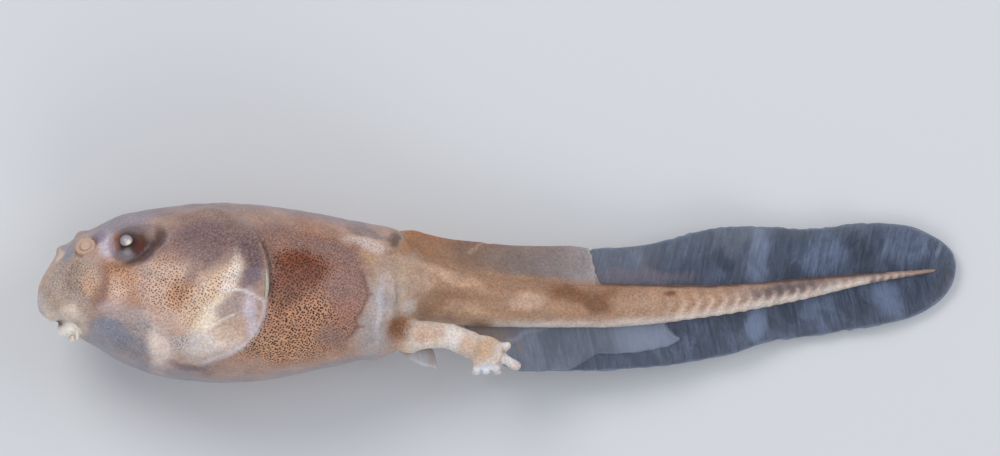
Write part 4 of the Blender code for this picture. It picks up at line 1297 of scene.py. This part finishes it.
def makeSkin():
    mesh, points, legGap = makeSkinShape()
    mesh.shade_smooth()
    mesh.name = "skin"
    writeTones(mesh, points, skinTones(points, legGap))
    flesh = ("head", "body", "tail_base", "tail_middle", "tail_end")
    legs = ("hind_leg_left", "hind_foot_left", "hind_leg_right", "hind_foot_right")
    addPiece("skin", mesh, points, makeSkinMaterial(), "body_skin", *flesh, *legs)
    print("skin:", len(mesh.vertices), "points")


makeSkin()


eyeLook = {
    "ball": {"Roughness": 0.32, "Coat Weight": 0.12, "Coat Roughness": 0.12, "Specular IOR Level": 0.3},
    "pearl": (156, 144, 154),
    "pearlRim": (96, 74, 80),
    # the lens's painted highlight: its colour, its place off the middle, and its width
    "lensHighlight": (250, 240, 214),
    "highlightAt": (0.045, -0.03),
    "highlightWidth": 0.42,  # share of the lens
    "lens": {"Roughness": 0.25, "Coat Weight": 0.15, "Coat Roughness": 0.1},
}


def makeColourMaterial(name, finish, grain=0.1, size=0.05):
    # painted colour of the piece itself, a little cloudy
    material, tree, shader = newMaterial(name)
    values = {"Vector": objectInMillimetres(tree), "Fine Size": size}
    clouds = addNode(tree, "ShaderNodeGroup", values, node_tree=grainGroup)
    tone = mapRange(tree, clouds.outputs["Fine"], 0.3, 0.7, 1 - grain, 1 + grain)
    tree.links.new(scaled(tree, attribute(tree, "skinColour", "Color"), tone), shader.inputs["Base Color"])
    setSockets(shader, finish)
    return material


def eyeMiddle(side):
    # sunk straight into the head
    return (eyePlace - eyes["sunk"] * np.array(outward(eyePlace))) * np.array((1, 1, side))


def lensMiddle(side):
    # on the ball, where the line of sight from the flank meets it
    centre = eyeMiddle(1)
    dx, dy = eyePlace[:2] + np.array(eyes["lensAt"]) - np.array(eyes["middle"]) - centre[:2]
    out = eyes["radius"] + eyes["lensProud"]
    return (centre + np.array((dx, dy, math.sqrt(out**2 - dx**2 - dy**2)))) * np.array((1, 1, side))


def makeEyes():
    # a ball coloured as the skin over it, and a lens that is dark round its rim, with a highlight painted
    # beside its middle
    ballMaterial = makeColourMaterial("wetEye", eyeLook["ball"], 0.22, 0.03)
    lensMaterial = makeColourMaterial("pearlLens", eyeLook["lens"], 0.05, 0.03)
    for side, name in flanks:
        solid = closedGrid(ballRings(eyeMiddle(side), (eyes["radius"],) * 3, 72, 96))
        mesh = buildMesh(f"eyeball_{name}", *solid)
        writeTones(mesh, solid[0], skinTones(solid[0], np.full(len(solid[0]), 9.0)))
        addPiece(f"eyeball_{name}", mesh, solid[0], ballMaterial, "eye", f"eye_{name}")

        middle = lensMiddle(side)
        solid = closedGrid(ballRings(middle, (eyes["lensRadius"],) * 3, 40, 56))
        off = (solid[0] - middle)[:, :2] / eyes["lensRadius"]
        fromHighlight = off - np.array(eyeLook["highlightAt"]) / eyes["lensRadius"]
        colour = linear(eyeLook["pearl"]) + 0 * solid[0]
        colour = blend(colour, eyeLook["pearlRim"], 0.8 * smoothStep(0.7, 1.0, np.hypot(*off.T)))
        # painted highlight: warm white beside the lens's middle
        colour = blend(colour, eyeLook["lensHighlight"], bell(np.hypot(*fromHighlight.T), eyeLook["highlightWidth"]))
        addSolid(f"lens_{name}", solid, colour, lensMaterial, "eye")


makeEyes()
print("eyes made")

nostrilLook = {
    "disc": (196, 167, 145),
    "groove": (150, 108, 84),
    "rim": (188, 154, 130),
    "finish": {"Roughness": 0.42, "Coat Weight": 0.15, "Coat Roughness": 0.2, "Subsurface Weight": 0.15,
               "Subsurface Radius": (1.0, 0.45, 0.28), "Subsurface Scale": 0.0002},
}


def makeNostrils():
    # the profile turned round an axis that leans out of the head
    material = makeColourMaterial("nostrilRim", nostrilLook["finish"], 0.10, 0.04)
    profile = np.array(nostrils["profile"])
    steps = lengthAlong(profile)
    walk = np.linspace(0.002, steps[-1] - 0.002, 90)
    radius, height = (np.interp(walk, steps, column)[:, None] for column in profile.T)
    angle = np.linspace(0, 2 * math.pi, 64, endpoint=False)[None, :]
    rimmed, grooved = (bell(radius - nostrils[name][0], nostrils[name][1]) for name in ("rim", "groove"))
    mean, swing, phase = nostrils["grooveShade"]
    grooved = grooved * (mean + swing * np.cos(angle - phase)) * (height > nostrils["grooveFloor"])
    radius = radius * sum((part * np.sin(n * angle + phase) for part, n, phase in nostrils["uneven"]), 1)
    ahead = Vector(nostrils["facing"]).normalized()
    across = ahead.cross(Vector((0, 0, 1))).normalized()
    parts = np.stack([radius * np.cos(angle), radius * np.sin(angle), height + 0 * angle], axis=-1)
    ways = np.array([across, across.cross(ahead), ahead])
    rings = nostrilPlace + np.array((0, 0, nostrils["proud"])) + parts @ ways
    colour = linear(nostrilLook["disc"]) + np.zeros(parts.shape)
    colour = blend(blend(colour, nostrilLook["rim"], rimmed), nostrilLook["groove"], grooved)
    colour = np.concatenate([colour.reshape(-1, 3), colour[0, :1], colour[-1, :1]])
    for side, name in flanks:
        addSolid(f"nostril_{name}", closedGrid(rings * np.array((1, 1, side))), colour, material, "head_skin")


makeNostrils()

mouthLook = {
    "beak": (66, 40, 30),
    "papilla": (232, 222, 206),
    "finish": {"Roughness": 0.45, "Specular IOR Level": 0.25},
}


def makeMouthParts():
    # tubes along both halves of the beak, and bent fingers on the lower lip that lean by sines of their place
    material = makeColourMaterial("mouthParts", mouthLook["finish"], 0.08, 0.04)
    beak = [closedGrid(lipRings(name, 16, 0.5, lips["beakReach"])) for name in ("beakAbove", "beakBelow")]
    fingers = []
    corner, middle = np.array(lips["lower"][0]), np.array(lips["lower"][1])
    places = [side for start, end, count in lips["papillae"] for side in np.linspace(start, end, count)]
    for side in (*places, 1.0):
        radius, lip = lips["papillaRadius"], (*(corner + (middle - corner) * math.cos(math.pi / 2 * side)), 0)
        behind, up, share = lips["papillaRoot"]
        root = np.array(lip) + np.array((behind, up, share * lips["half"] * side))
        lean = [mean + swing * math.sin(rate * side) for mean, swing, rate in lips["papillaLean"]]
        tip = root + np.array((*lean, lips["papillaSpread"] * side))
        if side == 1:
            radius, (root, tip) = 1.2 * radius, (np.array(lip) + np.array(end) for end in lips["longPapilla"])
        bend = (root + tip) / 2 + np.array((lips["papillaBend"], 0, 0))
        fingers.append(closedGrid(tubeRings((root, bend, tip), (radius, radius, 0.95 * radius), 26, 14)))
    for name, solids, tone in (("beak", beak, "beak"), ("papillae", fingers, "papilla")):
        solid = joinSolids(solids)
        addSolid(name, solid, linear(mouthLook[tone]) + 0 * solid[0], material, "head_skin")


makeMouthParts()
print("nostrils and mouth made")

gillRim = {
    "line": ((5.17, 0.64), (5.182, 0.5), (5.19, 0.36), (5.19, 0.2), (5.175, 0.06), (5.14, -0.08)),
    "radii": (0.004, 0.026, 0.04, 0.042, 0.032, 0.008),
    "ahead": 0.06,
    "sunk": 0.012,
    "colour": (176, 174, 162),
    "finish": {"Roughness": 0.45, "Coat Weight": 0.1, "Coat Roughness": 0.15, "Subsurface Weight": 0.2,
               "Subsurface Scale": 0.0003},
}


def makeGillRim():
    # a thin tube along the free edge, a little ahead of it and sunk into the wall
    material = makeColourMaterial("gillRim", gillRim["finish"], 0.25, 0.05)
    x, y = np.array(gillRim["line"]).T
    line = fromSight(x, y)
    line[:, 2] = fromSight(x - gillRim["ahead"], y)[:, 2] - gillRim["sunk"]
    solid = closedGrid(tubeRings(line, gillRim["radii"], 60, 16))
    addSolid("gillRim", solid, linear(gillRim["colour"]) + 0 * solid[0], material, "body_skin")


makeGillRim()

# The fins: a thin sheet round the tail, and the torn skin that still covers its front

finShape = {
    "upperEdge": (
        (8.05, 1.49), (8.47, 1.515), (8.86, 1.417), (9.38, 1.31), (10.08, 1.24), (10.77, 1.17),
        (11.46, 1.156), (11.98, 1.163), (12.6, 1.104), (13.35, 1.136), (14.26, 1.29), (14.87, 1.47),
        (15.47, 1.574), (16.08, 1.603), (16.69, 1.592), (17.3, 1.544), (17.91, 1.58), (18.51, 1.664),
        (19.12, 1.683),
    ),
    "lowerEdge": (
        (9.6, -1.05), (10.1, -1.42), (10.6, -1.6), (11.08, -1.69), (12.44, -1.687), (13.35, -1.639),
        (14.26, -1.567), (14.87, -1.474), (15.72, -1.311), (16.57, -1.02), (17.6, -0.9), (18.51, -0.746),
        (19.12, -0.644),
    ),
    "tip": (  # round the end, from the upper edge to the lower
        (19.12, 1.683), (19.73, 1.623), (20.34, 1.379), (20.64, 1.168), (20.8, 0.95), (20.852, 0.7),
        (20.82, 0.44), (20.64, 0.07), (20.21, -0.29), (19.73, -0.503), (19.12, -0.644),
    ),
    "upperStart": 12.1,
    "lowerStart": 11.3,
    "rootDepth": 0.1,  # inside the muscle
    "rootRoundTip": ((0, 0.45, 0.55, 1), (0.5, 0.6, 0.58, 0.42)),  # share of the way round the tip, height
    "half": (0.055, 0.022),  # thickness at the muscle and at the free edge
    "sway": 0.05,
    "swayRates": (2.1, 0.8),  # of its long wave, along the tail and up
    "swayLeast": 0.15,
    "swayWaves": ((0.8, 0.9, 51), (0.35, 0.3, 52)),
    "raggedAbove": (0.012, 0.12, 61),  # height, size and seed
    "raggedBelow": (0.02, 0.2, 62),
    "hidden": (0.06, (12.5, 12.6)),  # lower under the torn skin, up to its end
    "nick": (0.02, (18.28, 0.08), (18.45, 0.06)),  # depth, and place and width of the dip and of the lip
    "tipReach": (1.02, 0.8),  # of the root round the end of the muscle, and how bluntly it turns
    "lean": 0.22,  # of the streaks, towards the tip
    "edgeHighlight": (0.035, 0.7),  # width and strength of the pale, denser free edge, its paleness a painted highlight
}

upperEdge, lowerEdge = smoothCurve(finShape["upperEdge"]), smoothCurve(finShape["lowerEdge"])
tipStart = finShape["tip"][0][0]


def closeTogether(count):
    # shares from 0 to 1, closer together at both ends
    return (1 - np.cos(math.pi * (np.arange(count) + 0.5) / count)) / 2


def thickness(halves, s):
    # half of a sheet's thickness from root to edge, closing as a round border
    return (halves[0] + (halves[1] - halves[0]) * s) * np.sqrt(1 - (2 * s - 1) ** 16)


def finSway(x, y):
    # a long wave and noise push the sheet to left and right, more towards the tip
    (along, up), least = finShape["swayRates"], finShape["swayLeast"]
    swing = np.sin(along * x + up * y) + waves(np.stack([x, y, 0 * x], axis=-1), finShape["swayWaves"])
    return finShape["sway"] * (least + (1 - least) * smoothStep(*spans["finSway"], x)) * swing


def sheetGrid(x, y, half, s):
    # each ring runs out on the left side of the swaying sheet and back on the right
    middle = finSway(x, y) * s
    left, right = (np.stack([x, y, middle + side * half], axis=-1) for side in (1, -1))
    return closedGrid(np.concatenate([left, right[:, ::-1]], axis=1))


finPatches = {
    "nearSheath": ((13.1, 0.85), (0.85, 0.5), 0, (80, 86, 102), 0.8, 0, 0.5),
    "pinkStrip": ((13.6, 0.45), (1.3, 0.2), 0, (112, 99, 110), 0.8, 0, 0.3),
    "upperDark": ((14.6, 1.15), (0.6, 0.36), 20, (62, 78, 98), 0.5, 0, 0.5),
    "upperBand": ((16.35, 0.95), (0.26, 0.78), -14, (108, 120, 146), 0.75, 0, 0.9),
    "upperGap": ((17.05, 0.95), (0.34, 0.7), -12, (44, 56, 72), 0.75, 0, 0.2),
    "upperCloud": ((17.8, 1.02), (0.56, 0.5), 30, (86, 100, 126), 0.75, 0, 0.8),
    "upperGap2": ((18.85, 0.95), (0.36, 0.6), 0, (42, 54, 70), 0.75, 0, 0.2),
    "upperTip": ((19.7, 1.1), (0.6, 0.46), 15, (88, 100, 126), 0.7, 0, 0.8),
    "tipRidge": ((20.5, 1.02), (0.06, 0.28), -20, (132, 144, 166), 0.65, 0, 0.5),
    "tipBand": ((20.05, 1.1), (0.09, 0.3), -10, (112, 126, 154), 0.6, 0, 0.7),
    "lowerBand": ((16.3, -0.62), (0.18, 0.42), 10, (120, 136, 168), 0.8, 0, 0.8),
    "lowerGap": ((16.75, -0.55), (0.3, 0.4), 0, (48, 60, 78), 0.6, 0, 0.2),
    "lowerCloud": ((17.75, -0.35), (0.55, 0.4), -20, (82, 96, 120), 0.6, 0, 0.7),
    "lowerBright": ((19.3, -0.06), (0.4, 0.42), 15, (110, 126, 156), 0.8, 0, 0.8),
    "lowerFront": ((14.6, -1.1), (0.9, 0.4), 0, (50, 64, 88), 0.6, 0, 0.5),
    "tipEdge": ((20.6, 0.2), (0.25, 0.5), -20, (66, 66, 78), 0.6, 0, 0.1),
}

sheetLook = {
    "streaks": (  # stretch, scale and twist of the fine and of the broad ones
        ((1.0, 0.1, 1.0), 14.0, 0.25),
        ((1.0, 0.6, 1.0), 2.6, 0.6),
    ),
    "streakEdge": (0.41, 0.63),  # of the pattern, between which a streak comes in
    "leastDense": 0.15,
    "densest": 0.9,
    "bump": (0.4, 0.015),  # strength and depth
}

finLook = {
    "colour": (47, 59, 79),
    "streak": (118, 132, 158),
    "alpha": (0.62, 0.8),
    "finish": {"Roughness": 0.34, "Coat Weight": 0.35, "Coat Roughness": 0.2, "IOR": 1.38},
}


def makeFinMaterial(name, look):
    # milky sheet: fine streaks run out to the edge, and where they are dense it is less clear
    material, tree, shader = newMaterial(name)
    flow = attribute(tree, "flow", "Vector")
    streaks = []
    for stretch, scale, twist in sheetLook["streaks"]:
        drawn = addNode(tree, "ShaderNodeMapping", {"Vector": flow, "Scale": stretch}).outputs[0]
        pattern = noiseNode(tree, drawn, scale, 5.0, 0.65, twist, "2D")[0]
        streaks.append(mathNode(tree, "MULTIPLY", pattern, 0.5))
    both = mathNode(tree, "ADD", *streaks)
    dense = mathNode(tree, "ADD", sheetLook["leastDense"], attribute(tree, "stipple"))
    share = mathNode(tree, "MULTIPLY", mapRange(tree, both, *sheetLook["streakEdge"]), dense)
    colour = mixColours(tree, share, attribute(tree, "skinColour", "Color"), tuple(linear(look["streak"])))
    tree.links.new(colour, shader.inputs["Base Color"])
    dense = mapRange(tree, share, 0.0, sheetLook["densest"], *look["alpha"])
    alpha = mathNode(tree, "MAXIMUM", dense, attribute(tree, "solidityAndHighlight"))
    tree.links.new(alpha, shader.inputs["Alpha"])
    strength, depth = sheetLook["bump"]
    bump = addNode(tree, "ShaderNodeBump", {"Strength": strength, "Distance": depth * mm, "Height": both})
    tree.links.new(bump.outputs[0], shader.inputs["Normal"])
    setSockets(shader, look["finish"])
    return material


def dressSheet(name, solid, look, table, solidityAndHighlight, slot, *nodes):
    # colours, streaks and clearness of a sheet, and the lengths along and across it that the streaks follow
    points = solid[0]
    mesh = buildMesh(name, *solid)
    x, y = points[:, 0], points[:, 1]
    base = (linear(look["colour"]) + 0 * points, 0 * x, 0.3 + 0 * x)
    colour, _, streaks = paint(points, base, [(table, np.ones(len(x)))])
    # towards the streak colour by the mask: on the fin, a painted highlight along the free edge, where the
    # sheet is also made denser
    colour = np.clip(blend(colour, look["streak"], solidityAndHighlight), 0.004, 1)
    for label, values in (("skinColour", colour), ("stipple", streaks), ("solidityAndHighlight", solidityAndHighlight)):
        setAttribute(mesh, label, values)
    middle = (back(np.minimum(x, 20)) + belly(np.minimum(x, 20))) / 2
    setFlow(mesh, x - finShape["lean"] * np.abs(y - middle), y)
    addPiece(name, mesh, points, makeFinMaterial(name, look), slot, *nodes)


def finEdgeHighlight(x, y):
    # denser along the free edge, and paler there as a painted highlight
    free = np.minimum(np.abs(upperEdge(x) - y), np.abs(y - lowerEdge(x)))
    free = np.where(x > tipStart, lineDistance(x, y, finShape["tip"])[0], free)
    width, strength = finShape["edgeHighlight"]
    return strength * bell(free, width)


def makeFin():
    # the sheet runs along the upper edge, round the tip and back along the lower edge
    top = np.linspace(finShape["upperStart"], tipStart, 330)
    low = np.linspace(tipStart, finShape["lowerStart"], 360)
    tip = np.array(finShape["tip"])
    marks = lengthAlong(tip)
    walk = np.linspace(0, marks[-1], 130)[1:-1]
    ragged = waves(np.column_stack([top, 0 * top, 0 * top]), [finShape["raggedAbove"]])
    sunk, end = finShape["hidden"]
    ragged -= sunk * (1 - smoothStep(*end, top))
    raggedLow = waves(np.column_stack([low, 0 * low, 0 * low + 3]), [finShape["raggedBelow"]])
    depth, (dip, dipWidth), (lip, lipWidth) = finShape["nick"]
    raggedLow += depth * (bell(low - dip, dipWidth) - bell(low - lip, lipWidth))
    edge = np.concatenate([
        np.column_stack([top, upperEdge(top) + ragged]),
        smoothPath(tip, walk, marks),
        np.column_stack([low, lowerEdge(low) + raggedLow]),
    ])
    share = walk / marks[-1]
    reach, power = finShape["tipReach"]
    rootEnd = tipStart + reach * np.sin(math.pi * share) ** power, np.interp(share, *finShape["rootRoundTip"])
    root = np.concatenate([
        np.column_stack([top, back(top) - finShape["rootDepth"]]),
        np.column_stack(rootEnd),
        np.column_stack([low, belly(low) + finShape["rootDepth"]]),
    ])
    s = closeTogether(30)
    flat = root[:, None] + (edge - root)[:, None] * s[None, :, None]
    solid = sheetGrid(flat[..., 0], flat[..., 1], thickness(finShape["half"], s), s)
    dressSheet(
        "finMembrane", solid, finLook, finPatches, finEdgeHighlight(*solid[0][:, :2].T), "fin_membrane",
        "dorsal_fin_rear", "ventral_fin_rear", "tail_fin_tip",
    )


sheathShape = {
    "upperRear": (  # height share of the sheath from the muscle, x of the torn end
        (0.0, 12.8), (0.08, 12.76), (0.2, 12.64), (0.3, 12.62), (0.45, 12.625), (0.6, 12.6), (0.78, 12.56),
        (0.9, 12.53), (1.0, 12.5),
    ),
    "lowerEdge": (
        (9.6, -0.95), (10.0, -1.25), (10.5, -1.54), (11.08, -1.69), (11.95, -1.68), (12.4, -1.47),
        (12.75, -1.3), (13.1, -1.3), (13.55, -1.27), (14.25, -1.14), (14.63, -0.98),
    ),
    "lowerRear": ((0.0, 14.21), (0.35, 14.32), (0.7, 14.5), (0.92, 14.62), (1.0, 14.6)),
    "upperHalf": (0.52, 0.055),
    "upperRagged": (0.035, 0.07, 71),  # height, size and seed
    "upperRoot": (0.28, (7.9, 8.6)),  # depth inside the back, and where it sinks to it
    "upperFrontLow": (0.4, (7.95, 8.4)),  # deeper still at the very front
    "upperFrontTop": (0.5, (7.95, 8.22)),  # where its edge comes up out of the back
    "upperNotch": (0.02, 10.2, 0.08),  # depth, place and width
    "upperSwell": (2.2, 40),  # how fast it thins out from the muscle, and how round its borders are
    "upperThinner": (0.3, (10, 12.6)),  # towards the torn end
    "upperEndThinner": (0.4, (0.985, 1.0)),  # share of the length
    "front": 7.95,
    "tear": ((9.74, 1.0), (9.95, 1.14), (10.13, 1.27)),
    "tearTone": (0.5, 0.022, (196, 164, 136)),  # strength, width, colour
    "marginTone": (0.6, 0.05, (192, 182, 174)),
    "tearWander": (0.03, 0.09, 74),
    "ownColour": ((-0.06, 0.14), (8.15, 8.4)),  # heights over the back, and x, over which it comes in
    "ownColourWander": (0.03, 0.3, 73),
    "upperColours": (  # distance along the tail, red, green and blue
        (8.1, 164, 116, 80), (8.8, 156, 116, 88), (9.6, 136, 108, 90), (10.6, 130, 112, 102),
        (11.6, 134, 121, 118), (12.4, 146, 138, 138), (12.8, 158, 150, 150),
    ),
    "lowerHalf": (0.12, 0.07),
    "lowerFront": (9.6, 0.9),  # x at the muscle, and how much further back it starts at the edge
    "lowerRoot": 0.12,  # depth inside the belly
    "lowerRagged": (0.012, 0.15, 72),
    "lowerEndThinner": (0.6, (0.97, 1.0)),
}

sheathPatches = {
    "front": ((10.15, -0.82), (0.55, 0.3), 0, (136, 112, 92), 0.8, 0, 0.1),
    "ridge": ((11.0, -0.88), (0.75, 0.07), 14, (150, 152, 160), 0.6, 0, 0.3),
    "rear": ((13.8, -0.95), (0.9, 0.35), 0, (136, 146, 168), 0.7, 0, 0.3),
    "middle": ((12.1, -1.1), (1.1, 0.5), 0, (88, 95, 108), 0.6, 0, 0.1),
    "farToe": ((10.86, -1.16), (0.12, 0.15), 0, (132, 118, 108), 0.65, 0, 0.0),
}

sheathLook = {
    "colour": (104, 111, 126),
    "streak": (140, 148, 166),
    "alpha": (0.84, 0.94),
    "finish": {"Roughness": 0.32, "Coat Weight": 0.45, "Coat Roughness": 0.2, "IOR": 1.38},
}


def makeDorsalSheath():
    # over the upper fin: skin of the back, thick at the muscle, torn off square at the end
    s = closeTogether(30)
    t = np.linspace(0, 1, 260)[:, None]
    front = sheathShape["front"]
    rear = smoothCurve(sheathShape["upperRear"])(s)
    rear = rear + waves(np.column_stack([s, 0 * s, 0 * s]), [sheathShape["upperRagged"]])
    x = front + (rear - front) * t
    (root, sinking), (deeper, deep) = sheathShape["upperRoot"], sheathShape["upperFrontLow"]
    bottom = back(x) - root * smoothStep(*sinking, x) - deeper * (1 - smoothStep(*deep, x))
    (lower, rising), (notch, notchAt, notchWidth) = sheathShape["upperFrontTop"], sheathShape["upperNotch"]
    top = upperEdge(x) - lower * (1 - smoothStep(*rising, x)) - notch * bell(x - notchAt, notchWidth)
    y = bottom + (top - bottom) * s
    (thick, thin), (power, border) = sheathShape["upperHalf"], sheathShape["upperSwell"]
    half = (thin + (thick - thin) * (1 - s) ** power) * np.sqrt(1 - (2 * s - 1) ** border)
    for name, along in (("upperThinner", x), ("upperEndThinner", t)):
        less, span = sheathShape[name]
        half = half * (1 - less * smoothStep(*span, along))
    solid = sheetGrid(x, y, half, s)
    points = solid[0]
    mesh = buildMesh("dorsalSheath", *solid)
    colour, spots, stipple = skinTones(points, np.full(len(points), 9.0))
    x, y = points.T[:2]
    table = np.array(sheathShape["upperColours"])
    tone = linear(np.stack([np.interp(x, table[:, 0], column) for column in table[:, 1:].T], axis=-1))
    rise, begin = sheathShape["ownColour"]
    over = y - back(x) + waves(points, [sheathShape["ownColourWander"]])
    above = smoothStep(*rise, over) * smoothStep(*begin, x)
    colour = blend(colour, tone, above)
    wobble = waves(points, [sheathShape["tearWander"]])
    torn = lineDistance(x + wobble, y - wobble, sheathShape["tear"])[0]
    fromEnd = np.append(((rear - front) * (1 - t)).repeat(2, axis=1), [9, 0])
    for far, name in ((torn, "tearTone"), (fromEnd, "marginTone")):
        strength, width, tone = sheathShape[name]
        colour = blend(colour, tone, strength * bell(far, width))
    writeTones(mesh, points, (colour, spots * (1 - above), stipple * (1 - 0.9 * above)))
    addPiece("dorsalSheath", mesh, points, bpy.data.materials["wetSkin"], "fin_sheath", "dorsal_fin_front")


def makeVentralSheath():
    # under the tail: a smooth grey sheet that leaves the fin's own edge free towards its point
    s = closeTogether(30)
    t = np.linspace(0, 1, 260)[:, None]
    rear = smoothCurve(sheathShape["lowerRear"])(s)
    start, slant = sheathShape["lowerFront"]
    front = start + slant * s**2
    x = front + (rear - front) * t
    top = belly(x) + sheathShape["lowerRoot"]
    ragged = waves(np.stack([x, 0 * x, 0 * x], axis=-1), [sheathShape["lowerRagged"]])
    y = top + (smoothCurve(sheathShape["lowerEdge"])(x) + ragged - top) * s
    less, span = sheathShape["lowerEndThinner"]
    half = thickness(sheathShape["lowerHalf"], s) * (1 - less * smoothStep(*span, t))
    solid = sheetGrid(x, y, half, s)
    clear = 0 * solid[0][:, 0]
    dressSheet("ventralSheath", solid, sheathLook, sheathPatches, clear, "fin_sheath", "ventral_fin_front")


ventShape = {
    "path": ((8.18, -1.18, 0.0), (8.4, -1.26, 0.01), (8.7, -1.36, 0.03), (9.0, -1.4, 0.04)),
    "heights": (0.05, 0.12, 0.2, 0.235),  # half of the mouth's height, which opens backwards
    "half": 0.075,
    "ends": (0.06, 0.1, 0.05),  # shares of the length over which mouth and root close, and the least of it
    "slant": (0.22, (0.5, 1.0)),  # of the mouth, and where along the path it comes in
    "colour": (198, 196, 199),
    "streak": (222, 222, 226),
    "alpha": (0.85, 0.95),
    "finish": {"Roughness": 0.3, "Coat Weight": 0.4, "Coat Roughness": 0.2},
}

ventPatches = {
    "root": ((8.3, -1.26), (0.2, 0.16), 0, (170, 138, 112), 0.8, 0, 0.0),
    "fold": ((8.62, -1.44), (0.36, 0.04), -22, (214, 212, 214), 0.7, 0, 0.0),
    "mouth": ((9.0, -1.4), (0.1, 0.3), 0, (186, 160, 140), 0.5, 0, 0.0),
}


def makeVent():
    # a flat funnel between the legs: flattened rings along the path, with a slanted mouth
    t = np.linspace(0, 1, 60)
    middle = smoothPath(ventShape["path"], t)
    tall = smoothPath(np.array(ventShape["heights"])[:, None], t)[:, 0]
    mouth, root, least = ventShape["ends"]
    close = roundEnd((1 - t) / mouth, least) * roundEnd(t / root, least)
    angle = np.linspace(0, 2 * math.pi, 48, endpoint=False)
    up = (tall * (0.8 + 0.2 * close))[:, None] * np.sin(angle)
    out = (ventShape["half"] * close)[:, None] * np.cos(angle)
    slanted, span = ventShape["slant"]
    slant = -slanted * up * smoothStep(*span, t)[:, None]
    solid = closedGrid(middle[:, None] + np.stack([slant, up, out], axis=-1))
    dressSheet("ventFlap", solid, ventShape, ventPatches, 0 * solid[0][:, 0], "fin_membrane", "vent_tube")


makeFin()
makeDorsalSheath()
makeVentralSheath()
makeVent()
print("fins made")
